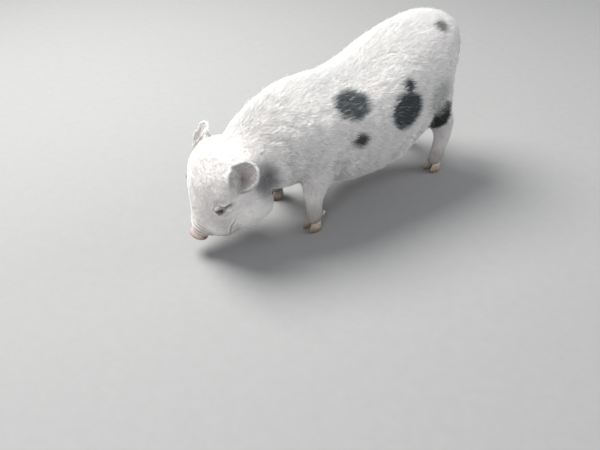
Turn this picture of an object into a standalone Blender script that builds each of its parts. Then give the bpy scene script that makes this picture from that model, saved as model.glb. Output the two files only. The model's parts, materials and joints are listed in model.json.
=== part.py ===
"""A spotted domestic pig of a small pot-bellied breed, standing and feeding with its head down.

Units are metres and +Z is up. The pig faces -Y, its left side is at +X, and its feet stand on Z = 0.
"""

import math

import bmesh
import bpy
from mathutils import Matrix, Vector
from mathutils.bvhtree import BVHTree

for old in list(bpy.data.objects):
    bpy.data.objects.remove(old)

# Driving dimensions
FRONT_FEET_Y = -0.200
HIND_FEET_Y = 0.221
FRONT_STANCE = 0.080
HIND_STANCE = 0.082
HEAD_LENGTH = 0.218
POLL = Vector((0.000, -0.398, 0.252))
SNOUT_TIP = Vector((-0.020, -0.460, 0.044))
DISC_HALF_WIDTH = 0.0235
DISC_HALF_HEIGHT = 0.0195
EYE_RADIUS = 0.0105
LID = 0.0022
EAR_LENGTH = 0.074
EAR_WIDTH = 0.068
EAR_THICKNESS = 0.0034
HOOF_HEIGHT = 0.026
CLEFT = 0.0030
# Free space between touching nodes, fineness of the melt and triangles of flesh before the cuts
GAP = 0.0003
VOXEL = 0.0045
BODY_FACES = 6600

# Width, length and height of a block that takes in all four feet
BLOCK = (0.5, 1.2, 0.1)

LEFT = Vector((1, 0, 0))
UP = Vector((0, 0, 1))
AHEAD = Vector((0, -1, 0))

# Trunk and neck from the rump forwards: y, centre height, half-width, rise above and drop below
# the centre, and the lean of the section in degrees, top forwards
TRUNK = (
    (0.280, 0.332, 0.020, 0.022, 0.040, -30),
    (0.269, 0.327, 0.056, 0.060, 0.078, -22),
    (0.238, 0.308, 0.092, 0.109, 0.116, -12),
    (0.192, 0.285, 0.113, 0.144, 0.158, -4),
    (0.130, 0.258, 0.124, 0.165, 0.176, 0),
    (0.060, 0.236, 0.134, 0.165, 0.174, 0),
    (-0.020, 0.225, 0.136, 0.125, 0.167, 0),
    (-0.100, 0.230, 0.130, 0.116, 0.160, 0),
    (-0.170, 0.238, 0.120, 0.123, 0.142, 8),
    (-0.225, 0.236, 0.108, 0.110, 0.124, 18),
    (-0.280, 0.220, 0.098, 0.097, 0.108, 30),
    (-0.325, 0.200, 0.087, 0.088, 0.098, 42),
    (-0.352, 0.182, 0.070, 0.070, 0.080, 50),
)

# Head from the nape to the muzzle: distance past the poll as a share of the head's length,
# rise to the brow, drop to the throat, half-width, how square the section is, and how much
# wider it is below than above
HEAD = (
    (-0.19, 0.022, 0.085, 0.052, 0.95, 0.00),
    (-0.02, 0.040, 0.106, 0.070, 0.95, 0.00),
    (0.14, 0.046, 0.116, 0.083, 0.92, 0.04),
    (0.28, 0.046, 0.120, 0.087, 0.90, 0.08),
    (0.42, 0.041, 0.121, 0.083, 0.86, 0.16),
    (0.57, 0.033, 0.114, 0.070, 0.84, 0.22),
    (0.70, 0.027, 0.098, 0.053, 0.84, 0.26),
    (0.80, 0.024, 0.078, 0.041, 0.86, 0.22),
    (0.89, 0.022, 0.058, 0.032, 0.90, 0.14),
    (0.97, 0.020, 0.034, 0.025, 0.92, 0.06),
)

# Legs from the body down: y off the foot, x off the stance, height, half-width, half-depth
FRONT_LEG = (
    (0.030, -0.010, 0.290, 0.030, 0.060),
    (0.020, -0.002, 0.225, 0.036, 0.061),
    (0.014, 0.000, 0.170, 0.034, 0.048),
    (0.006, 0.000, 0.128, 0.0275, 0.034),
    (0.000, 0.000, 0.098, 0.0245, 0.027),
    (0.001, 0.000, 0.070, 0.0195, 0.021),
    (0.003, 0.000, 0.046, 0.0210, 0.0225),
    (-0.002, 0.000, 0.022, 0.0210, 0.0235),
)
HIND_LEG = (
    (-0.028, -0.022, 0.300, 0.040, 0.058),
    (-0.043, -0.010, 0.240, 0.042, 0.064),
    (-0.036, 0.000, 0.190, 0.037, 0.056),
    (0.002, 0.001, 0.145, 0.028, 0.041),
    (0.020, 0.000, 0.114, 0.022, 0.029),
    (0.014, 0.000, 0.080, 0.0190, 0.0215),
    (0.007, 0.000, 0.048, 0.0205, 0.0225),
    (-0.001, 0.000, 0.022, 0.0210, 0.0235),
)

# Muscle and fat under the skin: centre and half-sizes, made on both sides
MASSES = (
    ((0.076, -0.165, 0.238), (0.046, 0.072, 0.086)),
    ((0.068, 0.174, 0.270), (0.046, 0.068, 0.105)),
    ((0.048, -0.362, 0.124), (0.040, 0.066, 0.045)),
    ((0.026, -0.405, 0.094), (0.034, 0.056, 0.036)),
)

# Eyes by the head's own measures: share of its length, rise, depth under the skin, slit's tilt
EYE_SHARE = 0.43
EYE_RISE = 0.016
EYE_SINK = 0.0074
EYE_TILT = math.radians(44)
# How far the lids swell past the ball along and across the slit, and the slit's half-sizes
LID_REACH = (0.0045, 0.0030)
SLIT = (0.0088, 0.0036, 0.0080)

# Ears: root, way up the ear and way the cup faces, for the left side of the pig; the right ear's
# are mirrored
EARS = {
    1: (Vector((0.060, -0.398, 0.208)), Vector((0.48, 0.34, 0.79)), Vector((0.517, -0.85, 0.104))),
    -1: (Vector((0.050, -0.408, 0.228)), Vector((0.34, 0.28, 0.87)), Vector((0.12, -0.95, 0.25))),
}
# Share of its length, width, curl in degrees and sway backwards
EAR_SHAPE = (
    (-0.05, 0.46, 170, 0.00),
    (0.12, 0.62, 150, 0.00),
    (0.30, 0.86, 115, 0.00),
    (0.50, 1.00, 85, 0.01),
    (0.72, 0.94, 62, 0.03),
    (0.90, 0.66, 48, 0.06),
    (1.00, 0.30, 40, 0.08),
)
EAR_COLUMNS = 6

TAIL_PATH = (
    (0.000, 0.262, 0.352),
    (0.001, 0.286, 0.350),
    (0.006, 0.306, 0.328),
    (0.014, 0.314, 0.290),
    (0.022, 0.314, 0.245),
    (0.028, 0.312, 0.195),
    (0.031, 0.310, 0.140),
)
TAIL_RADII = (0.0105, 0.0100, 0.0085, 0.0070, 0.0058, 0.0048, 0.0036)

# One claw's greatest half-width and sides, then height, reach forwards, reach backwards and
# half-width of its rings, and how far its toe narrows
CLAW_HALF_WIDTH = 0.0098
CLAW_SIDES = 12
TOE_TAPER = 0.22
CLAW = (
    (0.000, 0.0225, 0.0125, 0.0094),
    (0.003, 0.0232, 0.0135, 0.0098),
    (0.014, 0.0202, 0.0150, 0.0098),
    (0.026, 0.0165, 0.0155, 0.0092),
)
DEWCLAW_APART = 0.0095
DEWCLAW_BEHIND = 0.0260
DEWCLAW_HEIGHT = 0.042
DEWCLAW_SIZE = (0.0048, 0.0060, 0.0095)
DEWCLAW_LEAN = (-35, 12)

# The mouth runs straight along the head from under the nose: its rise at the poll's end and at
# the nose's end of the head's line, and the radius of the lips at shares of the head's length
MOUTH_RISE = (-0.0550, -0.0216)
MOUTH = ((0.90, 0.0030), (0.82, 0.0034), (0.73, 0.0036), (0.64, 0.0034), (0.56, 0.0028))
MOUTH_SHARES = (0.53, 1.06)
# The nose's flat end: share of the head's length, and size against the disc's
DISC = ((0.82, 0.86), (0.90, 0.90), (0.945, 0.96), (0.962, 1.06), (0.985, 1.06), (1.000, 0.94))
SNOUT_SHARE = 0.90
DISC_RISE = 0.003
# Half-sizes of a nostril, its distance off the middle and its lean in radians
NOSTRIL = (0.0042, 0.0058, 0.0100)
NOSTRIL_APART = 0.0098
NOSTRIL_LEAN = 0.35
# How deep the lips' tubes lie in the skin
LIP_SINK = 0.0012

# Centre and normal of the cuts behind the head and behind the neck
NECK_CUT = (Vector((0.0, -0.310, 0.200)), Vector((0.0, -0.905, -0.426)))
CHEST_CUT = (Vector((0.0, -0.262, 0.225)), Vector((0.0, -0.995, -0.100)))
# Width and height of the plates that make those cuts, width of the one behind the snout, and width
# and height of the one behind the jaw
NECK_PLATE = (0.30, 0.36)
CHEST_PLATE = (0.34, 0.40)
SNOUT_PLATE = 0.09
JAW_PLATE = (0.24, 0.14)

# Each leg's region: height, x and y off the foot, half-width, half-depth
FRONT_REGION = (
    (-0.020, 0.000, 0.000, 0.040, 0.046),
    (0.100, 0.000, 0.005, 0.040, 0.046),
    (0.160, 0.010, 0.015, 0.048, 0.050),
    (0.210, 0.025, 0.025, 0.050, 0.053),
    (0.250, 0.032, 0.030, 0.040, 0.043),
    (0.275, 0.035, 0.033, 0.018, 0.022),
)
HIND_REGION = (
    (-0.020, 0.000, 0.000, 0.040, 0.048),
    (0.100, 0.000, 0.007, 0.040, 0.056),
    (0.150, 0.004, -0.013, 0.046, 0.074),
    (0.200, 0.016, -0.018, 0.052, 0.084),
    (0.260, 0.023, -0.008, 0.052, 0.080),
    (0.315, 0.023, -0.013, 0.040, 0.055),
    (0.345, 0.023, -0.013, 0.018, 0.022),
)

# Colour and roughness by how a node's name starts
FINISHES = (
    ("torso", ((0.78, 0.74, 0.70), 0.8)),
    ("snout", ((0.70, 0.50, 0.44), 0.5)),
    ("ear", ((0.76, 0.63, 0.58), 0.7)),
    ("eye", ((0.02, 0.015, 0.01), 0.1)),
    ("hoof", ((0.32, 0.28, 0.23), 0.5)),
    ("dewclaw", ((0.34, 0.30, 0.25), 0.5)),
)


def linked(name, mesh):
    obj = bpy.data.objects.new(name, mesh)
    bpy.context.scene.collection.objects.link(obj)
    return obj


def shaped(name, bm):
    """The bmesh as a new object, its faces turned outwards."""
    bmesh.ops.recalc_face_normals(bm, faces=bm.faces)
    mesh = bpy.data.meshes.new(name)
    bm.to_mesh(mesh)
    bm.free()
    return linked(name, mesh)


def settle(obj):
    """Replaces an object's mesh with what its modifiers make of it."""
    graph = bpy.context.evaluated_depsgraph_get()
    mesh = bpy.data.meshes.new_from_object(obj.evaluated_get(graph))
    made = linked("settled", mesh)
    made.matrix_world = obj.matrix_world
    name = obj.name
    bpy.data.objects.remove(obj)
    made.name = name
    return made


def solid_curve(curve_object):
    """A bevelled curve as a closed mesh, its caps welded on."""
    made = settle(curve_object)
    bm = bmesh.new()
    bm.from_mesh(made.data)
    bmesh.ops.remove_doubles(bm, verts=bm.verts, dist=1e-5)
    bmesh.ops.recalc_face_normals(bm, faces=bm.faces)
    bm.to_mesh(made.data)
    bm.free()
    return made


def combine(obj, others, operation, solver="MANIFOLD"):
    """One Boolean of obj with all the others, which are then removed."""
    group = bpy.data.collections.new(operation.lower())
    for other in others:
        group.objects.link(other)
    modifier = obj.modifiers.new("Combine", "BOOLEAN")
    modifier.operation = operation
    modifier.operand_type = "COLLECTION"
    modifier.collection = group
    modifier.solver = solver
    made = settle(obj)
    for other in others:
        bpy.data.objects.remove(other)
    bpy.data.collections.remove(group)
    return made


def copy_of(obj, name):
    made = linked(name, obj.data.copy())
    made.matrix_world = obj.matrix_world
    return made


def oval(centre, side, rise_way, half_width, rise, drop, sides, square=0.92, low=0):
    """Points round an egg-like section: a square under 1 fills out its corners, low widens its base."""
    points = []
    for k in range(sides):
        turn = 2 * math.pi * k / sides
        c, s = math.cos(turn), math.sin(turn)
        across = half_width * math.copysign(abs(c) ** square, c) * (1 - low * s)
        height = (rise if s > 0 else drop) * math.copysign(abs(s) ** square, s)
        points.append(centre + side * across + rise_way * height)
    return points


def loft(name, rings, rounding=2):
    """A closed skin through rings of equal count."""
    bm = bmesh.new()
    loops = []
    for points in rings:
        verts = [bm.verts.new(p) for p in points]
        loops.append([bm.edges.new((verts[k - 1], verts[k])) for k in range(len(verts))])
        if len(loops) in (1, len(rings)):
            bm.faces.new(verts)
    for near, far in zip(loops, loops[1:]):
        bmesh.ops.bridge_loops(bm, edges=near + far)
    obj = shaped(name, bm)
    if rounding:
        smooth = obj.modifiers.new("Round", "SUBSURF")
        smooth.levels = smooth.render_levels = rounding
        obj = settle(obj)
    return obj


def ball(name, centre, half_sizes, turn=Matrix.Identity(3), fineness=3):
    """An ellipsoid."""
    bm = bmesh.new()
    bmesh.ops.create_icosphere(bm, subdivisions=fineness, radius=1)
    stretch = Matrix.Diagonal(half_sizes).to_4x4()
    bmesh.ops.transform(bm, matrix=Matrix.Translation(centre) @ turn.to_4x4() @ stretch, verts=bm.verts)
    return shaped(name, bm)


def slab(name, centre, normal, width, height, thick=GAP, across=LEFT):
    """A thin plate to cut with, facing along normal, width along across."""
    normal = Vector(normal).normalized()
    across = (across - normal * across.dot(normal)).normalized()
    rise = normal.cross(across)
    bm = bmesh.new()
    bmesh.ops.create_cube(bm, size=1)
    turn = Matrix((across * width, rise * height, normal * thick)).transposed().to_4x4()
    bmesh.ops.transform(bm, matrix=Matrix.Translation(centre) @ turn, verts=bm.verts)
    return shaped(name, bm)


def head_frame():
    """The head's own directions: along it to the snout, its left side, and out of the brow."""
    along = (SNOUT_TIP - POLL).normalized()
    side = (LEFT - along * LEFT.dot(along)).normalized()
    brow = side.cross(along).normalized()
    if brow.dot(AHEAD) < 0:
        brow = -brow
    return along, side, brow


ALONG, SIDE, BROW = head_frame()


def on_head(share, across, rise):
    """A point by its share of the head's length past the poll, to the left, and towards the brow."""
    return POLL + ALONG * (share * HEAD_LENGTH) + SIDE * across + BROW * rise


def trunk():
    rings = []
    for y, z, half_width, rise, drop, lean in TRUNK:
        tilt = math.radians(lean)
        rise_way = AHEAD * math.sin(tilt) + UP * math.cos(tilt)
        rings.append(oval(Vector((0, y, z)), LEFT, rise_way, half_width, rise, drop, 20))
    return loft("trunk", rings)


def skull():
    rings = [
        oval(on_head(share, 0, 0), SIDE, BROW, half_width, rise, drop, 20, square, low)
        for share, rise, drop, half_width, square, low in HEAD
    ]
    return loft("skull", rings)


def leg(stations, foot_y, stance):
    side = math.copysign(1, stance)
    rings = []
    for dy, dx, z, half_width, half_depth in stations:
        centre = Vector((stance + side * dx, foot_y + dy, z))
        rings.append(oval(centre, LEFT, AHEAD, half_width, half_depth, half_depth, 16))
    return loft("limb", rings)


def masses():
    made = []
    for (x, y, z), half_sizes in MASSES:
        for side in (1, -1):
            made.append(ball("mass", Vector((side * x, y, z)), half_sizes))
    return made


def feet():
    """Name, x and y of each foot."""
    return (
        ("front_left", FRONT_STANCE, FRONT_FEET_Y),
        ("front_right", -FRONT_STANCE, FRONT_FEET_Y),
        ("hind_left", HIND_STANCE, HIND_FEET_Y),
        ("hind_right", -HIND_STANCE, HIND_FEET_Y),
    )


def flesh():
    """Trunk, head and legs melted into one smooth body."""
    rough = [trunk(), skull(), *masses()]
    for name, x, y in feet():
        rough.append(leg(FRONT_LEG if name.startswith("front") else HIND_LEG, y, x))
    bm = bmesh.new()
    for obj in rough:
        bm.from_mesh(obj.data)
        bpy.data.objects.remove(obj)
    body = shaped("body", bm)
    melt = body.modifiers.new("Melt", "REMESH")
    melt.mode = "VOXEL"
    melt.voxel_size = VOXEL
    soften = body.modifiers.new("Soften", "SMOOTH")
    soften.factor = 0.5
    soften.iterations = 18
    body = settle(body)
    thin = body.modifiers.new("Thin", "DECIMATE")
    thin.ratio = BODY_FACES / (2 * len(body.data.polygons))
    return settle(body)


def grown(obj, distance):
    """A copy of obj with its surface moved outwards."""
    made = copy_of(obj, "grown")
    push = made.modifiers.new("Grow", "DISPLACE")
    push.strength = distance
    push.mid_level = 0
    return settle(made)


def largest(obj):
    """Keeps an object's largest closed surface only."""
    bm = bmesh.new()
    bm.from_mesh(obj.data)
    for piece in sorted(islands(bm), key=volume_of)[:-1]:
        bmesh.ops.delete(bm, geom=[v for f in piece for v in f.verts], context="VERTS")
    bm.to_mesh(obj.data)
    bm.free()
    return obj


def islands(bm):
    """The faces of each closed surface of a bmesh."""
    left = set(bm.faces)
    found = []
    while left:
        piece = [left.pop()]
        for face in piece:
            for edge in face.edges:
                for near in edge.link_faces:
                    if near in left:
                        left.remove(near)
                        piece.append(near)
        found.append(piece)
    return found


def volume_of(faces):
    total = 0
    for face in faces:
        first = face.verts[0].co
        for near, far in zip(face.verts[1:], face.verts[2:]):
            total += first.dot(near.co.cross(far.co)) / 6
    return total


def surface(obj):
    return BVHTree.FromPolygons([v.co for v in obj.data.vertices], [f.vertices for f in obj.data.polygons])


def on_skin(tree, share, rise, side):
    """The skin at a share of the head's length and a rise, met from the pig's left (1) or right (-1)."""
    start = on_head(share, side * 0.3, rise)
    return tree.ray_cast(start, -SIDE * side)


def tube(name, points, radii):
    """A closed tube through points."""
    data = bpy.data.curves.new(name, "CURVE")
    data.dimensions = "3D"
    data.bevel_depth = 1
    data.bevel_resolution = 2
    data.use_fill_caps = True
    data.resolution_u = 4
    spline = data.splines.new("NURBS")
    spline.points.add(len(points) - 1)
    spline.use_endpoint_u = True
    spline.order_u = 3
    for place, at, radius in zip(spline.points, points, radii):
        place.co = (*at, 1)
        place.radius = radius
    return solid_curve(linked(name, data))


def lids(tree, side):
    """The swelling round one eye, the ball inside it and the slit between the lids."""
    spot, normal, _, _ = on_skin(tree, EYE_SHARE, EYE_RISE, side)
    out = (normal + SIDE * side * 0.6 + BROW * 0.5).normalized()
    centre = spot - out * EYE_SINK
    slit = (BROW * math.cos(EYE_TILT) + ALONG * math.sin(EYE_TILT)).normalized()
    slit = (slit - out * slit.dot(out)).normalized()
    turn = Matrix((slit, out.cross(slit), out)).transposed()
    reach = [EYE_RADIUS + extra for extra in (*LID_REACH, LID)]
    swelling = ball("swelling", centre, reach, turn)
    socket = ball("socket", centre, (EYE_RADIUS + GAP,) * 3, turn)
    opening = ball("opening", centre + out * EYE_RADIUS, SLIT, turn)
    eyeball = ball("eye", centre, (EYE_RADIUS,) * 3, turn)
    return swelling, socket, opening, eyeball


def ear(side):
    """A cupped ear from its root in the head to its blunt tip."""
    mirror = Vector((side, 1, 1))
    root, up_ear, facing = (EARS[side][k] * mirror for k in range(3))
    up_ear.normalize()
    facing = (facing - up_ear * facing.dot(up_ear)).normalized()
    outwards = up_ear.cross(facing) * side
    rows = []
    bm = bmesh.new()
    for share, width, curl, back in EAR_SHAPE:
        half = width * EAR_WIDTH / 2
        row = []
        for k in range(EAR_COLUMNS + 1):
            turn = math.radians(curl) * (2 * k / EAR_COLUMNS - 1) / 2
            reach = half / math.sin(math.radians(min(curl, 180)) / 2)
            across = outwards * (reach * math.sin(turn))
            depth = facing * (reach * (1 - math.cos(turn)) - back * EAR_LENGTH)
            row.append(bm.verts.new(root + up_ear * (share * EAR_LENGTH) + across + depth))
        rows.append(row)
    for near, far in zip(rows, rows[1:]):
        for k in range(EAR_COLUMNS):
            bm.faces.new((near[k], near[k + 1], far[k + 1], far[k]))
    flap = shaped("ear", bm)
    thick = flap.modifiers.new("Thickness", "SOLIDIFY")
    thick.thickness = EAR_THICKNESS
    thick.offset = 0
    smooth = flap.modifiers.new("Round", "SUBSURF")
    smooth.levels = smooth.render_levels = 1
    return settle(flap)


def claw(name, x, y, side):
    """One toe of a cloven hoof, its point forwards and its sole flat on the floor."""
    rings = []
    for z, front, back, half_width in CLAW:
        points = []
        for k in range(CLAW_SIDES):
            turn = 2 * math.pi * k / CLAW_SIDES
            ahead = math.cos(turn)
            length = front if ahead > 0 else back
            across = half_width * math.sin(turn) * (1 - TOE_TAPER * max(ahead, 0))
            centre_x = x + side * (CLEFT / 2 + CLAW_HALF_WIDTH)
            points.append(Vector((centre_x + across, y - ahead * length, z)))
        rings.append(points)
    return loft(name, rings, rounding=0)


def dewclaw(name, x, y, side):
    back, apart = (math.radians(angle) for angle in DEWCLAW_LEAN)
    tilt = Matrix.Rotation(back, 3, "X") @ Matrix.Rotation(apart * side, 3, "Y")
    centre = Vector((x + side * DEWCLAW_APART, y + DEWCLAW_BEHIND, DEWCLAW_HEIGHT))
    return ball(name, centre, DEWCLAW_SIZE, tilt, fineness=2)


def tail():
    return tube("tail", [Vector(p) for p in TAIL_PATH], TAIL_RADII)


def leg_region(stations, x, y, wider):
    """What belongs to one leg, as a rounded block: the cut between leg and trunk follows it."""
    side = math.copysign(1, x)
    rings = []
    for z, dx, dy, half_width, half_depth in stations:
        centre = Vector((x + side * dx, y + dy, z + (wider if z > 0.2 else 0)))
        deep = half_depth + wider
        rings.append(oval(centre, LEFT, AHEAD, half_width + wider, deep, deep, 20, 1))
    return loft("region", rings, rounding=0)


def part_legs(body):
    """Takes the legs off the body along their regions."""
    legs, cuts = [], []
    for name, x, y in feet():
        stations = FRONT_REGION if name.startswith("front") else HIND_REGION
        cuts.append((stations, x, y))
        limb = copy_of(body, "limb")
        limb = combine(limb, [leg_region(stations, x, y, 0)], "INTERSECT")
        legs.append((name, x, y, largest(limb)))
    regions = [leg_region(stations, x, y, GAP) for stations, x, y in cuts]
    body = combine(body, regions, "DIFFERENCE")
    return largest(body), legs


def below(height):
    """A block that holds everything under a height."""
    bm = bmesh.new()
    bmesh.ops.create_cube(bm, size=1)
    bmesh.ops.scale(bm, verts=bm.verts, vec=BLOCK)
    bmesh.ops.translate(bm, verts=bm.verts, vec=(0, 0, height - BLOCK[2] / 2))
    return shaped("below", bm)


def split(obj):
    """Each closed surface of obj as an object of its own, largest first."""
    bm = bmesh.new()
    bm.from_mesh(obj.data)
    pieces = sorted(islands(bm), key=volume_of, reverse=True)
    made = []
    for faces in pieces:
        part = bmesh.new()
        copies = {}
        for face in faces:
            for v in face.verts:
                if v not in copies:
                    copies[v] = part.verts.new(v.co)
            part.faces.new([copies[v] for v in face.verts])
        made.append(shaped("piece", part))
    bm.free()
    bpy.data.objects.remove(obj)
    return made


def middle(obj):
    total = sum((v.co for v in obj.data.vertices), Vector())
    return total / len(obj.data.vertices)


def build():
    nodes = {}
    body = flesh()
    tree = surface(body)

    swellings, sockets, openings = [], [], []
    for word, side in (("left", 1), ("right", -1)):
        swelling, socket, opening, eyeball = lids(tree, side)
        swellings.append(swelling)
        sockets.append(socket)
        openings.append(opening)
        nodes["eye_" + word] = eyeball

    lips = [tube("lip", *lip_line(tree, side)) for side in (1, -1)]
    body = combine(body, [*swellings, *lips, snout_disc()], "UNION")
    body = largest(body)

    bigger = grown(body, GAP)
    for word, side in (("left", 1), ("right", -1)):
        flap = combine(ear(side), [copy_of(bigger, "cutter")], "DIFFERENCE")
        nodes["ear_" + word] = largest(flap)
    nodes["tail"] = largest(combine(tail(), [copy_of(bigger, "cutter")], "DIFFERENCE"))
    for name, x, y in feet():
        for word, side in (("left", 1), ("right", -1)):
            toe = dewclaw("dewclaw", x, y, side)
            toe = combine(toe, [copy_of(bigger, "cutter")], "DIFFERENCE")
            nodes[f"dewclaw_{name}_{word}"] = largest(toe)
            nodes[f"hoof_{name}_{word}"] = claw("claw", x, y, side)
    bpy.data.objects.remove(bigger)

    body = combine(body, [*sockets, *openings, *nostrils()], "DIFFERENCE")
    body, legs = part_legs(body)
    for name, x, y, limb in legs:
        limb = combine(limb, [below(HOOF_HEIGHT + GAP)], "DIFFERENCE")
        nodes["leg_" + name] = largest(limb)

    body = combine(body, [slab("cut", *plate) for plate in plates()], "DIFFERENCE")
    pieces = split(body)
    for name, place in (
        ("torso", Vector((0, 0.05, 0.25))),
        ("neck", Vector((0, -0.29, 0.21))),
        ("head", on_head(0.3, 0, 0)),
        ("jaw", on_head(0.75, 0, -0.050)),
        ("snout", on_head(0.97, 0, 0)),
    ):
        nearest = min(pieces, key=lambda piece: (middle(piece) - place).length)
        pieces.remove(nearest)
        nodes[name] = nearest
    for scrap in pieces:
        bpy.data.objects.remove(scrap)
    return nodes


def snout_disc():
    """The flat end of the nose, its rim standing proud of the muzzle."""
    rings = []
    for share, size in DISC:
        width, height = DISC_HALF_WIDTH * size, DISC_HALF_HEIGHT * size
        rings.append(oval(on_head(share, 0, DISC_RISE), SIDE, BROW, width, height, height, 20, 0.95))
    return loft("disc", rings, rounding=1)


def nostrils():
    made = []
    for side in (1, -1):
        turn = Matrix((SIDE, BROW, ALONG)).transposed() @ Matrix.Rotation(side * NOSTRIL_LEAN, 3, "Z")
        centre = on_head(1.0, side * NOSTRIL_APART, DISC_RISE + 0.001)
        made.append(ball("nostril", centre, NOSTRIL, turn))
    return made


def mouth_rise(share):
    return MOUTH_RISE[0] + (MOUTH_RISE[1] - MOUTH_RISE[0]) * share


def lip_line(tree, side):
    """Points and radii of the lips from under the snout to the corner of the mouth."""
    points, radii = [], []
    for share, radius in MOUTH:
        place, normal, _, _ = on_skin(tree, share, mouth_rise(share), side)
        points.append(place - normal * LIP_SINK)
        radii.append(radius)
    return points, radii


def plates():
    """Each thin cut between head, neck, torso, jaw and snout: centre, normal, width, height and more."""
    corner, front = (on_head(share, 0, mouth_rise(share)) for share in MOUTH_SHARES)
    level = front - corner
    rise_way = level.normalized().cross(SIDE)
    back_way = (ALONG * 0.05 - BROW).normalized()
    low, high = mouth_rise(SNOUT_SHARE) - GAP / 2, DISC_HALF_HEIGHT * 2
    yield NECK_CUT + NECK_PLATE
    yield CHEST_CUT + CHEST_PLATE
    yield on_head(SNOUT_SHARE, 0, (low + high) / 2), ALONG, SNOUT_PLATE, high - low, GAP, SIDE
    width, height = JAW_PLATE
    yield (front + corner) / 2, rise_way, width, level.length + GAP, GAP, SIDE
    yield corner + back_way * (height / 2), back_way.cross(SIDE), width, height + GAP, GAP, SIDE


def finish(name):
    """Colour and roughness for a node."""
    for word, look in FINISHES:
        if name.startswith(word):
            return look
    return FINISHES[0][1]


def dress(nodes):
    """Names the nodes, gives each its material and stands the animal over the origin."""
    corners = [v.co for obj in nodes.values() for v in obj.data.vertices]
    shift = Vector([-(min(c[k] for c in corners) + max(c[k] for c in corners)) / 2 for k in (0, 1)] + [0])
    home = bpy.data.collections.new("domestic_pig")
    bpy.context.scene.collection.children.link(home)
    for name, obj in nodes.items():
        obj.name = obj.data.name = name
        obj.data.transform(Matrix.Translation(shift))
        obj.data.update()
        colour, roughness = finish(name)
        material = bpy.data.materials.new(name)
        material.use_nodes = True
        surface_shader = material.node_tree.nodes["Principled BSDF"]
        surface_shader.inputs["Base Color"].default_value = (*colour, 1)
        surface_shader.inputs["Roughness"].default_value = roughness
        obj.data.materials.append(material)
        obj.data.shade_smooth()
        for other in list(obj.users_collection):
            other.objects.unlink(obj)
        home.objects.link(obj)


dress(build())
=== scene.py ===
# %% [markdown]
# # A spotted pot-bellied pig, feeding
#
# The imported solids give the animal's true size and pose. Here they get a living surface: one skin
# without seams, wet eyes, horn on the toes, and a coat of short bristles that lies along the body.
# Everything stands where the solids stand, in metres, with the pig facing -Y.

import json
import math

import bmesh
import bpy
import numpy as np
from mathutils import Matrix, Vector
from mathutils.bvhtree import BVHTree
from mathutils.kdtree import KDTree

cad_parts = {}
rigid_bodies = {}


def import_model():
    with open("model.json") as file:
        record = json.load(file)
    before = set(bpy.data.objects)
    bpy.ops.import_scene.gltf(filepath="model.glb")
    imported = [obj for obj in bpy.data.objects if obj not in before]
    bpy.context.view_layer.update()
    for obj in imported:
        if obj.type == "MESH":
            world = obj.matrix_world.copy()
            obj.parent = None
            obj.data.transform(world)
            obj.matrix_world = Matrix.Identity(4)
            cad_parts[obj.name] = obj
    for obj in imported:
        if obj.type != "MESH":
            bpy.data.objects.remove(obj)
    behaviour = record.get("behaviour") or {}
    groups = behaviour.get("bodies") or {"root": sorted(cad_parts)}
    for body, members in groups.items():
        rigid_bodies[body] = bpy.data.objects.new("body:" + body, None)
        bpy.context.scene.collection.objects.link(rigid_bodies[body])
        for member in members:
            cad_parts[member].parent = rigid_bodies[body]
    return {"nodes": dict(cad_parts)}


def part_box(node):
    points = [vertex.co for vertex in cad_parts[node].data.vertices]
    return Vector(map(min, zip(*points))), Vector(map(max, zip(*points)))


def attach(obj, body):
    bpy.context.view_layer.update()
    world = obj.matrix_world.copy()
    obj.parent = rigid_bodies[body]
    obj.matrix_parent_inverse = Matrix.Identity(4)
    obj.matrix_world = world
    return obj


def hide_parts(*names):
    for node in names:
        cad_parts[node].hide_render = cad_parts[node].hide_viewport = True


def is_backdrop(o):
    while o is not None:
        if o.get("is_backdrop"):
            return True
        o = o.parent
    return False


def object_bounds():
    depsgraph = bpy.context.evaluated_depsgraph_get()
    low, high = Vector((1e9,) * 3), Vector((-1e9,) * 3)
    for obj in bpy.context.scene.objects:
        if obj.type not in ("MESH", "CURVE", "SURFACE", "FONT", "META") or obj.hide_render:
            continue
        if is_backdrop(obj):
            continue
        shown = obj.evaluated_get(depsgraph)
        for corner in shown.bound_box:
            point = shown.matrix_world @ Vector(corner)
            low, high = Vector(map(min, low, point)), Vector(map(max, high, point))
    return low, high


for old in list(bpy.data.objects):
    bpy.data.objects.remove(old)
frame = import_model()
NODES = frame["nodes"]
cad_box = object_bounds()
print("CAD box", [[round(v, 3) for v in corner] for corner in cad_box])

SEED = 11
SKIN_VOXEL = 0.0016
COAT_DEPTH = 0.0022
FEET = ("front_left", "front_right", "hind_left", "hind_right")
FLESH = ["head", "jaw", "snout", "neck", "torso", "tail", "ear_left", "ear_right"]
FLESH += ["leg_" + foot for foot in FEET]

# %% [markdown]
# ## Directions on the head
#
# The head hangs at a slant, so its own directions are worth having: one along it to the nose, one
# to its left and one out of the brow. They come from the poll, which is the top of the head, and
# the flat end of the nose. A place on the head is then told by how far it lies towards the nose, to
# the left and outwards.

# %% The head's own frame
def corners_of(name):
    return [Vector(corner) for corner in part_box(name)]


def centre_of(name):
    low, high = corners_of(name)
    return (low + high) / 2


EYES = {1: centre_of("eye_left"), -1: centre_of("eye_right")}
POLL = Vector((0.0, -0.3177, 0.252))
NOSE = Vector((-0.020, -0.3797, 0.044))
ALONG = (NOSE - POLL).normalized()
SIDE = (Vector((1, 0, 0)) - ALONG * ALONG.x).normalized()
BROW = ALONG.cross(SIDE).normalized()
if BROW.y > 0:
    BROW = -BROW
HEAD_LENGTH = 0.218
print("head length", round((NOSE - POLL).length, 4), "brow", [round(v, 2) for v in BROW])


def on_head(share, across, rise):
    """A place by share of the head's length past the poll, to the left, and towards the brow."""
    return POLL + ALONG * (share * HEAD_LENGTH) + SIDE * across + BROW * rise

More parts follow.
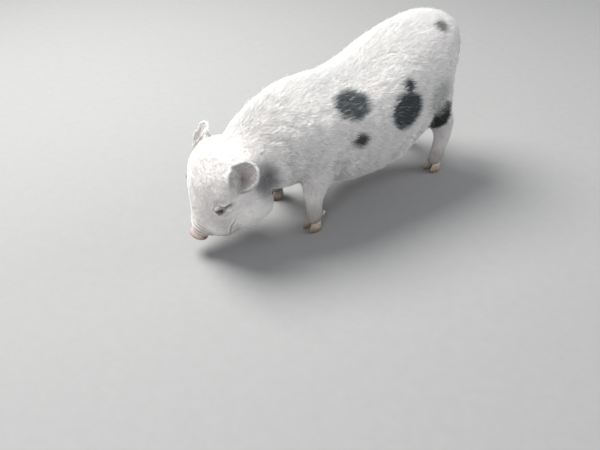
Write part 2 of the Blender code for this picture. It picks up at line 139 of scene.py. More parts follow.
# %% [markdown]
# ## Taking the solids apart and together
#
# The flesh comes as a dozen closed pieces with hair-thin gaps between them. A copy of each has its
# loose triangles merged, all are joined into one mesh, and a voxel remesh melts them into a single
# closed skin. Booleans would leave a sharp line at every joint, which the remesh rounds over. The
# eyes and the horn of the feet stay out of it.

# %% Making and changing pieces
def linked(name, mesh):
    piece = bpy.data.objects.new(name, mesh)
    bpy.context.scene.collection.objects.link(piece)
    return piece


def shaped(name, bm):
    mesh = bpy.data.meshes.new(name)
    bm.to_mesh(mesh)
    bm.free()
    return linked(name, mesh)


def changed(piece, *steps):
    """The piece after modifiers, each told by its kind and its settings, are added and applied."""
    for kind, settings in steps:
        modifier = piece.modifiers.new(kind, kind)
        for key, value in settings.items():
            setattr(modifier, key, value)
    graph = bpy.context.evaluated_depsgraph_get()
    mesh = bpy.data.meshes.new_from_object(piece.evaluated_get(graph))
    name = piece.name
    bpy.data.objects.remove(piece)
    mesh.name = name
    return linked(name, mesh)


def melting(voxel):
    return "REMESH", {"mode": "VOXEL", "voxel_size": voxel}


def smoothing(rounds, factor=0.5):
    return "SMOOTH", {"factor": factor, "iterations": rounds}


def joined_nodes(name, nodes):
    """The named nodes' surfaces in one new mesh, each merged."""
    bm = bmesh.new()
    for node in nodes:
        bm.from_mesh(NODES[node].data)
    bmesh.ops.remove_doubles(bm, verts=bm.verts, dist=1e-6)
    return shaped(name, bm)


# %% One skin
skin = changed(joined_nodes("skin", FLESH), melting(SKIN_VOXEL), smoothing(6))
print("skin after the remesh:", len(skin.data.polygons), "faces")

# %% [markdown]
# ## Points as arrays
#
# The skin now has hundreds of thousands of points, too many for a loop in plain Python. So they are
# read into one array, sculpted all at once with NumPy and written back. Whatever fades here does so
# by the same smooth step from a low to a high value.

# %% Reading, writing and fading
def vectors_of(items, key):
    values = np.empty(len(items) * 3)
    items.foreach_get(key, values)
    return values.reshape(-1, 3)


def points_of(mesh):
    return vectors_of(mesh.vertices, "co")


def normals_of(mesh):
    return vectors_of(mesh.vertex_normals, "vector")


def tree_of(mesh):
    return BVHTree.FromPolygons([v.co for v in mesh.vertices], [f.vertices for f in mesh.polygons])


def set_points(mesh, points):
    mesh.vertices.foreach_set("co", points.astype(np.float32).ravel())
    mesh.update()


def lengths(vectors):
    return np.linalg.norm(vectors, axis=1)


def unit(vectors):
    return vectors / np.maximum(np.linalg.norm(vectors, axis=-1, keepdims=True), 1e-12)


def rising(values, low, high):
    """0 below low, 1 above high, smooth between."""
    t = np.clip((values - low) / (high - low), 0, 1)
    return t * t * (3 - 2 * t)


print("the smooth step, in quarters:", rising(np.linspace(0, 1, 5), 0, 1).round(2))

# %% [markdown]
# ## Regions of the body
#
# The skin folds, the bare places and the lie of the coat all differ from one part of the animal to
# the next. Each region is a number from 0 to 1 at every point, worked out once from the solids'
# places. It fades over a centimetre or two, so that nothing changes at a hard line.

# %% Regions as soft masks
NECK_PLACE = np.array((0.0, -0.230, 0.200))
NECK_WAY = np.array((0.0, -0.905, -0.426))
# where the fade at a region's edge begins and ends, in metres or in shares of the head's length
HEAD_EDGE = (-0.025, 0.015)
EAR_EDGE = (0.0012, 0.0040)
EAR_REACH = 0.006
TAIL_ROOT = (0.370, 0.378)
TAIL_EDGE = (0.0, 0.004)
LEG_TOP = {"front": 0.165, "hind": 0.185}
LEG_FADE = 0.055
LEG_EDGE = (0.0, 0.006)
MUZZLE_SHARE = (0.62, 0.85)
BACK_HALF, BACK_FLOOR = (0.015, 0.06), (0.27, 0.31)
BELLY_TOP = (0.10, 0.17)
# the nose's disc: half its width and height, its middle's rise, its share of the way and its rim
NOSE_HALF, NOSE_RISE = (0.026, 0.022), 0.003
NOSE_SHARE, NOSE_RIM = (0.935, 0.950), (1.25, 1.4)


def box_distance(points, low, high):
    """How far outside a box each point lies."""
    return lengths(np.maximum(np.maximum(np.array(low) - points, points - np.array(high)), 0))


def head_parts(points):
    """Share along the head, distance to its left and rise to the brow, for many points."""
    away = points - np.array(POLL)
    return away @ np.array(ALONG) / HEAD_LENGTH, away @ np.array(SIDE), away @ np.array(BROW)


def ear_distance(points, word):
    """How far each point lies from an ear's own solid, 1 where that is far."""
    tree = tree_of(NODES["ear_" + word].data)
    found = np.ones(len(points))
    for k in np.nonzero(box_distance(points, *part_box("ear_" + word)) < EAR_REACH)[0]:
        found[k] = tree.find_nearest(Vector(points[k]))[3]
    return found


def regions(points):
    share, across, rise = head_parts(points)
    mask = {"head": rising((points - NECK_PLACE) @ NECK_WAY, *HEAD_EDGE)}
    for word in ("left", "right"):
        mask["ear_" + word] = 1 - rising(ear_distance(points, word), *EAR_EDGE)
    mask["ear"] = np.maximum(mask["ear_left"], mask["ear_right"])
    mask["tail"] = 1 - rising(box_distance(points, *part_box("tail")), *TAIL_EDGE)
    mask["tail"] *= rising(points[:, 1], *TAIL_ROOT)
    mask["leg"] = np.zeros(len(points))
    for foot in FEET:
        near = 1 - rising(box_distance(points, *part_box("leg_" + foot)), *LEG_EDGE)
        top = LEG_TOP[foot.split("_")[0]]
        mask["leg"] = np.maximum(mask["leg"], near * (1 - rising(points[:, 2], top - LEG_FADE, top)))
    nose = lengths(np.stack((across / NOSE_HALF[0], (rise - NOSE_RISE) / NOSE_HALF[1]), 1))
    mask["nose"] = rising(share, *NOSE_SHARE) * (1 - rising(nose, *NOSE_RIM))
    mask["muzzle"] = rising(share, *MUZZLE_SHARE) * mask["head"]
    mask["back"] = (1 - rising(np.abs(points[:, 0]), *BACK_HALF)) * rising(points[:, 2], *BACK_FLOOR)
    mask["belly"] = (1 - rising(points[:, 2], *BELLY_TOP)) * (1 - mask["leg"]) * (1 - mask["head"])
    return mask


mask = regions(points_of(skin.data))
print("points in each region:", {name: int((value > 0.5).sum()) for name, value in mask.items()})

# %% [markdown]
# ## Folds
#
# A fat young pig is creased where it bends: round the eyes, over the nose, along the lips, behind
# the jowls and the elbows. A fold is a line laid on the skin. Points close to the line sink, and
# those a little further off swell, as skin does when it is pushed together.

# %% Creases and swellings along a line
def laid(tree, places):
    """The places moved to the nearest skin."""
    return np.array([tree.find_nearest(Vector(place))[0] for place in places])


def line_distance(points, path):
    """Each point's distance from a path, and how far along the path that is."""
    best = np.full(len(points), 9.0)
    where = np.zeros(len(points))
    close = box_distance(points, path.min(axis=0), path.max(axis=0)) < 0.05
    near = points[close]
    for k, (start, end) in enumerate(zip(path, path[1:])):
        way = end - start
        t = np.clip((near - start) @ way / max(way @ way, 1e-12), 0, 1)
        apart = lengths(near - start - t[:, None] * way)
        better = apart < best[close]
        best[close] = np.where(better, apart, best[close])
        where[close] = np.where(better, (k + t) / (len(path) - 1), where[close])
    return best, where


def crease(points, path, width, depth, swell=0.45, ends=0.25):
    """Height to add for one fold, fading towards its ends."""
    apart, where = line_distance(points, path)
    fade = rising(where, -0.01, ends) * (1 - rising(where, 1 - ends, 1.01)) if ends else 1
    sunk = np.exp(-((apart / width) ** 2))
    pushed = np.exp(-(((apart - 2.1 * width) / (1.1 * width)) ** 2))
    return depth * fade * (swell * pushed - sunk)


straight = np.array(((0.0, 0.0, 0.0), (1.0, 0.0, 0.0)))
beside = np.array([(0.5, y, 0.0) for y in (0.0, 0.010, 0.020)])
heights = crease(beside, straight, 0.010, 0.005) * 1000
print("a crease of 5 mm, at its middle, one width out and two widths out:", heights.round(1), "mm")

# %% [markdown]
# ## Round the eyes
#
# A fat pig's eye looks out of a slit between thick lids. It lies in a long dip that runs from
# beside the nose to under the ear. The solids have a wider opening there. Turning each lid about
# the middle of the ball closes it without touching the ball, and the folds round it are arcs.

# %% Lids, and the dip that the eye lies in
# places along the dip by the eye's own slit: to its outer corner, and over the top
DIP = (
    (-0.0270, 0.0000),
    (-0.0190, 0.0000),
    (-0.0080, -0.0004),
    (0.0080, -0.0006),
    (0.0190, -0.0030),
    (0.0320, -0.0070),
)
# reach, height, first and last angle, width and depth of the folds round an eye
EYE_FOLDS = (
    (0.0150, 0.0110, 15, 165, 0.0020, 0.0014),
    (0.0255, 0.0200, 20, 150, 0.0060, 0.0009),
    (0.0150, 0.0105, -165, -15, 0.0020, 0.0018),
    (0.0225, 0.0175, -165, -20, 0.0032, 0.0024),
    (0.0310, 0.0260, -150, -40, 0.0045, 0.0018),
)
EYE_FOLD_SWELL, EYE_FOLD_FADE = 0.6, 0.3
# how far each lid turns, round which angle, over how wide a band and from where on, in degrees
UPPER_LID, LOWER_LID = 12.0, 6.0
LID_ANGLE, LID_SPREAD, LID_START = 20, 26, 12
# distances from the middle of the ball at which the lids' turning fades and the dip begins
LID_REACH, DIP_CLEAR = (0.0140, 0.0220), (0.0135, 0.0200)
DIP_FORM = {"width": 0.0050, "depth": 0.0062, "swell": 0.75, "ends": 0.3}
# how far out of the ball's middle the folds and the dip are first laid
EYE_OUT, DIP_OUT = 0.0105, 0.010
# how much the eye looks to the side and to the brow, and how far its slit is turned from the brow
EYE_ASIDE, EYE_FORWARD, SLIT_TURN = 0.86, 0.50, math.radians(44)


def eye_ways(side):
    """Out of the eye, along its slit to the outer corner, and over the top of it."""
    out = (SIDE * side * EYE_ASIDE + BROW * EYE_FORWARD).normalized()
    slit = -(BROW * math.cos(SLIT_TURN) + ALONG * math.sin(SLIT_TURN))
    slit = (slit - out * slit.dot(out)).normalized()
    over = slit.cross(out) * side
    if over.dot(BROW - ALONG) < 0:
        over = -over
    return out, slit, over


EYE_WAYS = {side: eye_ways(side) for side in (1, -1)}


def eye_ring(side, reach, height, start, end):
    """Places on an arc round an eye, angles in degrees from its outer corner over the top."""
    out, slit, over = EYE_WAYS[side]
    turns = np.radians(np.linspace(start, end, 9))
    return [
        EYES[side] + out * EYE_OUT + slit * (reach * math.cos(t)) + over * (height * math.sin(t))
        for t in turns
    ]


def slit_path(side):
    """The long dip that the eye lies in, from near the nose to below the ear."""
    out, slit, over = EYE_WAYS[side]
    return [EYES[side] + out * DIP_OUT + slit * along + over * rise for along, rise in DIP]


def sink_by_eyes(points, tree):
    """Height to add for the dip either side of each eye, leaving the lids themselves."""
    height = np.zeros(len(points))
    for side in (1, -1):
        clear = rising(lengths(points - np.array(EYES[side])), *DIP_CLEAR)
        height += crease(points, laid(tree, slit_path(side)), **DIP_FORM) * clear
    return height


def narrow_lids(points):
    """Turns the upper and lower lid towards each other over the ball."""

    def band(angle):
        return np.exp(-(((angle - LID_ANGLE) / LID_SPREAD) ** 2))

    for side in (1, -1):
        out, _, over = (np.array(way) for way in EYE_WAYS[side])
        away = points - np.array(EYES[side])
        near = 1 - rising(lengths(away), *LID_REACH)
        angle = np.degrees(np.arctan2(away @ over, away @ out))
        upper = UPPER_LID * band(angle) * rising(angle, 0, LID_START)
        lower = LOWER_LID * band(-angle) * rising(-angle, 0, LID_START)
        turn = np.radians((lower - upper) * near)
        flat, up = away @ out, away @ over
        points = points + np.outer(flat * np.cos(turn) - up * np.sin(turn) - flat, out)
        points = points + np.outer(flat * np.sin(turn) + up * np.cos(turn) - up, over)
    return points


print("out of the left eye:", [round(v, 2) for v in EYE_WAYS[1][0]])

# %% [markdown]
# ## Where the ears meet the head
#
# An ear isn't stuck on. Its front edge runs out over the temple as a ridge, and its hollow opens
# into a dip in the side of the head. Both are told from the root of the ear, so the right ear,
# which stands a little higher and further forward, gets the same ones mirrored.

# %% Ears and their roots
EAR_FACING = {"left": (0.517, -0.85, 0.104), "right": (-0.12, -0.95, 0.25)}
EAR_ROOTS = {"left": (1, (0.060, -0.3177, 0.208)), "right": (-1, (-0.050, -0.3277, 0.228))}
EAR_DIPS = ((0.0145, -0.0030, 0.0240), (0.0150, -0.0080, 0.0120))
EAR_DIP, EAR_DIP_WIDTH = 0.0080, 0.0120
RIDGE_FORM = {"width": 0.0040, "depth": -0.0042, "swell": 0.25, "ends": 0.35}
EAR_RIDGE = (
    (0.0070, 0.0060, 0.0520),
    (0.0050, -0.0080, 0.0470),
    (0.0050, -0.0190, 0.0360),
    (0.0095, -0.0215, 0.0230),
    (0.0140, -0.0200, 0.0080),
)


def ear_frame(word):
    """An ear's root and tip, the way it faces and its width's way."""
    points = points_of(NODES["ear_" + word].data)
    far = lengths(points - np.array(on_head(0.30, 0, 0.0)))
    order = np.argsort(far)
    tip = points[order[-max(len(order) // 12, 3):]].mean(axis=0)
    root = points[order[: len(order) // 4]].mean(axis=0)
    facing = np.array(EAR_FACING[word])
    way = unit(tip - root)
    facing = unit(facing - way * (facing @ way))
    return root, tip, way, facing, np.cross(way, facing)


EARS = {word: ear_frame(word) for word in ("left", "right")}
EAR_WAY = {word: ear[2] for word, ear in EARS.items()}
EAR_MIDDLE = {word: points_of(NODES["ear_" + word].data).mean(axis=0) for word in EARS}


def by_ear(word, offsets):
    """Places told from the root of an ear, mirrored for the right one."""
    side, root = EAR_ROOTS[word]
    return [(root[0] + side * x, root[1] + y, root[2] + z) for x, y, z in offsets]


def ear_hollows(points):
    """1 in the middle of the dips where the ears open into the side of the head, 0 away from them."""
    near = np.zeros(len(points))
    for word in EAR_ROOTS:
        for place in by_ear(word, EAR_DIPS):
            apart = lengths(points - np.array(place))
            near = np.maximum(near, np.exp(-((apart / EAR_DIP_WIDTH) ** 2)))
    return near


def ear_fronts(points, tree):
    """Height to add for the ridge in which the front edge of each ear runs out on the temple."""
    height = np.zeros(len(points))
    for word in EAR_ROOTS:
        height += crease(points, laid(tree, by_ear(word, EAR_RIDGE)), **RIDGE_FORM)
    return height


print("ears' lengths:", {word: round(math.dist(*ear[:2]) * 1000) for word, ear in EARS.items()}, "mm")

# %% [markdown]
# ## Mouth, nose, body and feet
#
# The other folds are short lines given on the animal's left and mirrored. Real wrinkles are
# never quite even, so the rings over the nose waver. The top of the head is rounded off as well,
# and the skin swells and hangs a little where it meets the horn of each foot.

# %% Lines of the other folds
# places on the left side
NECK_FOLD = (
    (0.076, -0.256, 0.262),
    (0.094, -0.243, 0.225),
    (0.096, -0.231, 0.180),
    (0.080, -0.222, 0.140),
)
SHOULDER_FOLD = (
    (0.088, -0.205, 0.27),
    (0.104, -0.196, 0.225),
    (0.104, -0.190, 0.18),
    (0.088, -0.185, 0.14),
)
ELBOW_FOLD = (
    (0.118, -0.055, 0.200),
    (0.118, -0.050, 0.165),
    (0.098, -0.055, 0.125),
    (0.078, -0.065, 0.105),
)
FLANK_FOLD = (
    (0.125, 0.195, 0.250),
    (0.118, 0.185, 0.205),
    (0.108, 0.180, 0.165),
    (0.085, 0.180, 0.130),
)
EAR_FOLD = ((0.060, -0.345, 0.235), (0.045, -0.372, 0.215), (0.040, -0.380, 0.190))
# places, width, depth, swelling and fade of each fold of neck and body
BODY_FOLDS = (
    (NECK_FOLD, 0.015, 0.0065, 0.3, 0.35),
    (SHOULDER_FOLD, 0.014, 0.0030, 0.3, 0.4),
    (ELBOW_FOLD, 0.012, 0.0050, 0.3, 0.4),
    (FLANK_FOLD, 0.014, 0.0050, 0.3, 0.4),
    (EAR_FOLD, 0.010, 0.0016, 0.3, 0.4),
)
CLEFT = ((0.0, 0.396, 0.325), (0.0, 0.392, 0.285), (0.0, 0.375, 0.240), (0.0, 0.345, 0.200))
# share of the head's length and depth of each ring over the nose
NOSE_FOLDS = ((0.885, 0.0026), (0.835, 0.0022), (0.785, 0.0016), (0.735, 0.0010))
NOSE_RING, NOSE_DROOP, NOSE_WAVER = (0.036, 0.034), 0.012, 0.006
NOSE_FOLD_WIDTH = 0.0020
# how far aside of an ear's middle each vein starts and how far it leans, and its steps to the tip
VEINS = ((-0.013, -0.004), (-0.002, 0.0), (0.010, 0.004))
VEIN_STEPS, VEIN_OUT = (0.25, 0.45, 0.65, 0.85), 0.006
# heights of the rings over a foot, the middles of the legs there, and the rings' radius
RING_HEIGHTS = (0.052, 0.061)
LEG_X, LEG_YS, LEG_RING = 0.080, (-0.1197, 0.3013), 0.022
# width, depth, swelling and fade of the lips, leg rings, veins and the cleft between the hams
LIP_FOLD = (0.0019, 0.0042, 0.75, 0.06)
LEG_FOLD = (0.0022, 0.0010, 0.5, 0.3)
VEIN_FOLD = (0.0022, 0.0011, 0.6, 0.4)
CLEFT_FOLD = (0.009, 0.0055, 0.4, 0.35)
# rise of the mouth's line at the poll, and how much it gains over the head's length
MOUTH_RISE, MOUTH_SLOPE = -0.0550, 0.0334
CORONET_OUT, CORONET_DOWN = 0.0016, 0.0032
POLL_DROP, POLL_MIDDLE = 0.008, -0.004


def mouth_rise(share):
    return MOUTH_RISE + MOUTH_SLOPE * share


def mouth_path(side):
    """The line of the lips, from under the nose to the upturned corner."""
    shares = np.linspace(0.99, 0.55, 11)
    places = [on_head(s, side * (0.026 + 0.09 * (0.98 - s)), mouth_rise(s)) for s in shares]
    places.append(on_head(0.52, side * 0.07, mouth_rise(0.52) + 0.006))
    return places


def leg_rings(side):
    """Half rings in front of the joints over each foot."""
    turns = np.linspace(-1.4, 1.4, 5)
    for z in RING_HEIGHTS:
        for y in LEG_YS:
            yield [(side * LEG_X + LEG_RING * math.sin(t), y - LEG_RING * math.cos(t), z) for t in turns]


def folds_of(tree):
    """Every fold: its path on the skin, width, depth, swelling and how soon it fades."""
    found = []
    for side in (1, -1):
        for reach, height, start, end, width, depth in EYE_FOLDS:
            ring = eye_ring(side, reach, height, start, end)
            found.append((ring, width, depth, EYE_FOLD_SWELL, EYE_FOLD_FADE))
        found.append((mouth_path(side), *LIP_FOLD))
        for places, width, depth, swell, fade in BODY_FOLDS:
            found.append(([(side * x, y, z) for x, y, z in places], width, depth, swell, fade))
        for ring in leg_rings(side):
            found.append((ring, *LEG_FOLD))
    turns = np.radians(np.linspace(-105, 105, 13))
    for n, (share, depth) in enumerate(NOSE_FOLDS):
        shares = [
            share + NOSE_DROOP * abs(math.sin(t)) + NOSE_WAVER * math.sin(2.6 * t + 2.2 * n) for t in turns
        ]
        ring = [
            on_head(s, NOSE_RING[0] * math.sin(t), NOSE_RING[1] * math.cos(t)) for s, t in zip(shares, turns)
        ]
        found.append((ring, NOSE_FOLD_WIDTH, depth, 0.5, 0.22))
    for root, tip, _, facing, wide in EARS.values():
        for aside, lean in VEINS:
            vein = [
                root + (tip - root) * t + wide * (aside + lean * t) + facing * VEIN_OUT for t in VEIN_STEPS
            ]
            found.append((vein, *VEIN_FOLD))
    found.append((CLEFT, *CLEFT_FOLD))
    return [(laid(tree, places), *rest) for places, *rest in found]


def coronets(points):
    """How far the skin stands out and how far it hangs down where it meets the horn of each foot."""
    low = (1 - rising(points[:, 2], 0.030, 0.044)) * rising(points[:, 2], 0.0, 0.020)
    return CORONET_OUT * low, CORONET_DOWN * (1 - rising(points[:, 2], 0.0265, 0.034))


def round_poll(points):
    """Lowers both sides of the poll, so that the top of the head is a dome between the ears."""
    aside = rising(np.abs(points[:, 0] - POLL_MIDDLE), 0.006, 0.048)
    along = (1 - rising(points[:, 1], -0.285, -0.250)) * rising(points[:, 1], -0.385, -0.345)
    drop = POLL_DROP * aside * along * rising(points[:, 2], 0.232, 0.272) * (1 - mask["ear"])
    return points - np.outer(drop, (0, 0, 1))


print("rings over the nose:", len(NOSE_FOLDS), "; folds of neck and body:", len(BODY_FOLDS), "a side")

# %% [markdown]
# ## Sinking the skin under its coat
#
# The solids reach to the tips of the lying coat, so the skin lies a couple of millimetres inside
# them wherever bristles will grow, and stays where it is on the bare nose. A shallow unevenness
# at the size of muscles and fat keeps the flanks from looking cast.

# %% Muscle, folds and depth
def ripple(points, size, seed):
    """A cheap smooth noise from a few seeded waves, about -1 to 1."""
    draw = np.random.default_rng(seed)
    total = np.zeros(len(points))
    for _ in range(7):
        way = unit(draw.normal(size=3)) / size * draw.uniform(0.7, 1.6)
        total += np.sin(points @ way * 2 * math.pi + draw.uniform(0, 6.28))
    return total / 3.2


def apply_folds(piece):
    """Sculpts every fold and says how deep each point has sunk."""
    points = narrow_lids(round_poll(points_of(piece.data)))
    set_points(piece.data, points)
    normals = normals_of(piece.data)
    tree = tree_of(piece.data)
    height = sink_by_eyes(points, tree)
    height += (ear_fronts(points, tree) - EAR_DIP * ear_hollows(points)) * (1 - mask["ear"])
    for path, width, depth, swell, ends in folds_of(tree):
        height += crease(points, path, width, depth, swell, ends)
    out, down = coronets(points)
    points = points + normals * (height + out * mask["leg"])[:, None]
    points[:, 2] -= down * mask["leg"]
    set_points(piece.data, points)
    return height


points, normals = points_of(skin.data), normals_of(skin.data)
depth = COAT_DEPTH * (1 - mask["nose"]) * (1 - 0.75 * mask["ear"])
depth *= (1 - 0.5 * mask["muzzle"]) * (1 - 0.4 * mask["leg"])
plump = 0.0011 * ripple(points, 0.11, 1) + 0.0004 * ripple(points, 0.035, 2)
depth -= plump * (1 - mask["ear"]) * (1 - mask["tail"]) * (1 - 0.6 * mask["muzzle"])
set_points(skin.data, points - normals * depth[:, None])
fold_height = apply_folds(skin)
print("deepest fold", round(float(-fold_height.min()) * 1000, 1), "mm")

# %% [markdown]
# ## Thinning
#
# A face needs small triangles and a flank under its coat doesn't. The decimate modifier takes its
# cue from a vertex group, which holds a weight for each point: 1 on the trunk, near 0 on the face.
# What stands out of the skin smoothed is measured too, to find the rims and the creases later.

# %% Thin the body, keep the face
group = skin.vertex_groups.new(name="thin")
plain = 1 - np.maximum(mask["head"] * 0.9, 0.7 * mask["ear"])
for level in np.linspace(0.02, 1, 16):
    chosen = np.nonzero(np.abs(plain - level) <= 0.033)[0]
    group.add(chosen.tolist(), float(level), "REPLACE")
thinning = {"ratio": 0.2, "vertex_group": "thin", "vertex_group_factor": 1e-5}
skin = changed(skin, ("DECIMATE", thinning))
skin.vertex_groups.clear()
skin = changed(skin, smoothing(2, 0.4))
skin.data.shade_smooth()
mask = regions(points_of(skin.data))
print("skin:", len(skin.data.polygons), "faces; head share", round(float(mask["head"].mean()), 2))


def bulge_of(piece, rounds):
    """How far each point stands out of the skin smoothed, in metres: rims above 0, creases below."""
    copy = changed(linked("smoothed", piece.data.copy()), smoothing(rounds))
    away = points_of(piece.data) - points_of(copy.data)
    bpy.data.objects.remove(copy)
    return (away * normals_of(piece.data)).sum(axis=1)


bulge = bulge_of(skin, 14)
print("bulge from", round(float(bulge.min()) * 1000, 2), "to", round(float(bulge.max()) * 1000, 2), "mm")

# %% [markdown]
# ## A small language for shaders
#
# A material here is written as sums: a wire is the output of some node, and wires can be added,
# multiplied or compared as numbers are, each step adding one Math node. Every other kind of node
# is made by one method, which takes its settings and what goes into its sockets.

# %% Wires and shaders
class Wire:
    """An output socket that takes part in sums."""

    def __init__(self, shader, socket):
        self.shader = shader
        self.socket = socket

    def maths(self, operation, *others):
        inputs = dict(enumerate((self, *others)))
        return self.shader.node("ShaderNodeMath", {"operation": operation}, inputs)

    def __add__(self, other):
        return self.maths("ADD", other)

    def __sub__(self, other):
        return self.maths("SUBTRACT", other)

    def __rsub__(self, other):
        return self.maths("MULTIPLY_ADD", -1.0, other)

    def __mul__(self, other):
        return self.maths("MULTIPLY", other)

    def __pow__(self, other):
        return self.maths("POWER", other)

    __radd__ = __add__
    __rmul__ = __mul__

    def above(self, other):
        return self.maths("MAXIMUM", other)

    def rise(self, low, high):
        """0 below low, 1 above high, smooth between."""
        settings = {"interpolation_type": "SMOOTHSTEP", "clamp": True}
        inputs = {"Value": self, "From Min": low, "From Max": high}
        return self.shader.node("ShaderNodeMapRange", settings, inputs)


class Shader:
    """A material, its node tree and its Principled shader."""

    def __init__(self, name, **constants):
        self.material = bpy.data.materials.new(name)
        self.material.use_nodes = True
        self.tree = self.material.node_tree
        self.surface = self.tree.nodes["Principled BSDF"]
        for key, value in constants.items():
            self.surface.inputs[key.replace("_", " ")].default_value = value

    def feed(self, socket, value):
        if isinstance(value, Wire):
            self.tree.links.new(value.socket, socket)
        elif hasattr(socket.default_value, "__len__"):
            room = len(socket.default_value)
            socket.default_value = (*value, 1.0)[:room]
        else:
            socket.default_value = value

    def node(self, kind, settings=(), inputs=(), output=0):
        node = self.tree.nodes.new(kind)
        for key, value in dict(settings).items():
            setattr(node, key, value)
        for key, value in dict(inputs).items():
            self.feed(node.inputs[key], value)
        return Wire(self, node.outputs[output])

    def place(self):
        """Where the point is in the object's own coordinates."""
        return self.node("ShaderNodeTexCoord", output="Object")

    def height(self, place):
        return self.node("ShaderNodeSeparateXYZ", {}, {0: place}, "Z")

    def attribute(self, name, output="Fac"):
        return self.node("ShaderNodeAttribute", {"attribute_name": name}, output=output)

    def vector(self, operation, first, second, output=0):
        return self.node("ShaderNodeVectorMath", {"operation": operation}, {0: first, 1: second}, output)

    def mix(self, factor, first, second):
        sockets = {"Factor": factor, 6: first, 7: second}
        return self.node("ShaderNodeMix", {"data_type": "RGBA", "blend_type": "MIX"}, sockets, 2)

    def noise(self, place, scale, detail=2.0, rough=0.5, output=0):
        inputs = {"Vector": place, "Scale": scale, "Detail": detail, "Roughness": rough}
        return self.node("ShaderNodeTexNoise", {}, inputs, output)

    def finish(self, colour, roughness=None, bumps=()):
        """Feeds the surface its colour, roughness and bumps, each bump a height wire and metres."""
        self.feed(self.surface.inputs["Base Color"], colour)
        if roughness is not None:
            self.feed(self.surface.inputs["Roughness"], roughness)
        normal = None
        for height, distance in bumps:
            inputs = {"Height": height, "Distance": distance, "Strength": 1.0}
            if normal:
                inputs["Normal"] = normal
            normal = self.node("ShaderNodeBump", {}, inputs)
        if normal:
            self.feed(self.surface.inputs["Normal"], normal)
        return self.material

# %% [markdown]
# ## The markings
#
# The pig is white with a few round spots, some black and some slate grey where white bristles grow
# from dark skin. A spot is an ellipsoid standing in the flank, so it needs no unwrap: the colour of
# a point follows from how far it lies from the spot's centre. Noise frays the edge. The skin asks
# with its own place and a tuft of coat asks with the place of its root, so the two always agree.
# The far side isn't seen, and its spots are made up in the same manner. One soft grey patch behind
# the left ear is no marking: it is painted shade of the neck fold, laid on as a spot is.

# %% Spots
# how far the noise moves a spot's edge, and a spot's half depth into the body, in metres
FRAY, SPOT_DEPTH = 0.020, 0.055
# centre, the way out of the skin, half length along the body, half height, lean, softness, shade
SPOTS = [
    ((0.0946, -0.0298, 0.3204), (0.74, -0.06, 0.67), 0.045, 0.036, -8, 0.20, "slate"),
    ((0.1263, 0.1116, 0.2692), (0.98, 0.02, 0.21), 0.048, 0.043, 0, 0.14, "dark"),
    ((0.1070, 0.1253, 0.3203), (0.88, 0.0, 0.47), 0.013, 0.019, 10, 0.45, "dark"),
    ((0.1143, 0.2590, 0.1950), (0.99, -0.14, -0.08), 0.033, 0.043, -28, 0.10, "black"),
    ((0.1131, 0.2339, 0.2568), (0.97, 0.02, 0.22), 0.040, 0.043, 0, 0.45, "pale"),
    ((0.1264, -0.0279, 0.2410), (1.0, 0.0, 0.05), 0.020, 0.015, 0, 0.45, "dim"),
    ((0.0514, 0.2708, 0.4024), (0.48, -0.07, 0.88), 0.017, 0.015, 0, 0.50, "faint"),
    # not a marking: painted shade of the neck fold behind the left ear
    ((0.0830, -0.2500, 0.1930), (0.94, -0.28, -0.10), 0.025, 0.043, 12, 0.65, "dusky"),
    ((-0.1180, 0.0350, 0.2750), (-0.97, 0.0, 0.25), 0.040, 0.032, 12, 0.16, "dark"),
    ((-0.1120, 0.0640, 0.2980), (-0.94, 0.0, 0.34), 0.018, 0.014, -30, 0.40, "dark"),
    ((-0.0850, 0.1950, 0.3500), (-0.72, 0.0, 0.70), 0.036, 0.030, -10, 0.25, "slate"),
    ((-0.1200, -0.0900, 0.2150), (-1.0, 0.0, 0.05), 0.018, 0.021, 0, 0.30, "dark"),
    ((-0.1150, 0.2500, 0.2350), (-0.99, 0.0, 0.08), 0.028, 0.035, 20, 0.14, "black"),
]
SPOT_COATS = {
    "slate": (0.112, 0.127, 0.131),
    "dark": (0.062, 0.073, 0.080),
    "dim": (0.072, 0.067, 0.072),
    "black": (0.012, 0.013, 0.014),
    "pale": (0.55, 0.565, 0.545),
    "faint": (0.20, 0.21, 0.20),
    # painted shade behind the ear, in the coat
    "dusky": (0.34, 0.33, 0.34),
}
SPOT_SKINS = {
    "slate": (0.070, 0.078, 0.081),
    "dark": (0.045, 0.050, 0.055),
    "dim": (0.060, 0.056, 0.060),
    "black": (0.012, 0.012, 0.013),
    "pale": (0.29, 0.30, 0.29),
    "faint": (0.12, 0.125, 0.12),
    # painted shade behind the ear, on the skin
    "dusky": (0.185, 0.175, 0.180),
}


def spot_axes(out, lean):
    """Two unit directions in the skin, the first along the body, turned by the lean in degrees."""
    out = Vector(out).normalized()
    along = (Vector((0, 1, 0)) - out * out.y).normalized()
    up = out.cross(along) * (1 if out.x < 0 else -1)
    turn = Matrix.Rotation(math.radians(lean), 3, out)
    return turn @ along, turn @ up, out


def marked(shader, place, colour, shades):
    """The colour with every spot laid over it."""
    fray = shader.noise(place, 55.0, 3.0, 0.6, "Color")
    fine = shader.noise(place, 420.0, 2.0, 0.6)
    back = shader.vector("SUBTRACT", place, (FRAY / 2,) * 3)
    inputs = {0: fray, 1: (FRAY,) * 3, 2: back}
    moved = shader.node("ShaderNodeVectorMath", {"operation": "MULTIPLY_ADD"}, inputs)
    for centre, out, length, height, lean, soft, shade in SPOTS:
        away = shader.vector("SUBTRACT", moved, centre)
        sizes = (length, height, SPOT_DEPTH)
        axes = [axis / size for axis, size in zip(spot_axes(out, lean), sizes)]
        spans = [shader.vector("DOT_PRODUCT", away, axis, "Value") for axis in axes]
        reach = (spans[0] * spans[0] + spans[1] * spans[1] + spans[2] * spans[2]) ** 0.5
        reach = reach + (fine - 0.5) * (0.9 * soft + 0.12)
        inside = 1.0 - reach.rise(1.0 - soft, 1.0 + soft)
        colour = shader.mix(inside, colour, shades[shade])
    return colour


print("spots on the left:", sum(spot[0][0] > 0 for spot in SPOTS), "and in all:", len(SPOTS))
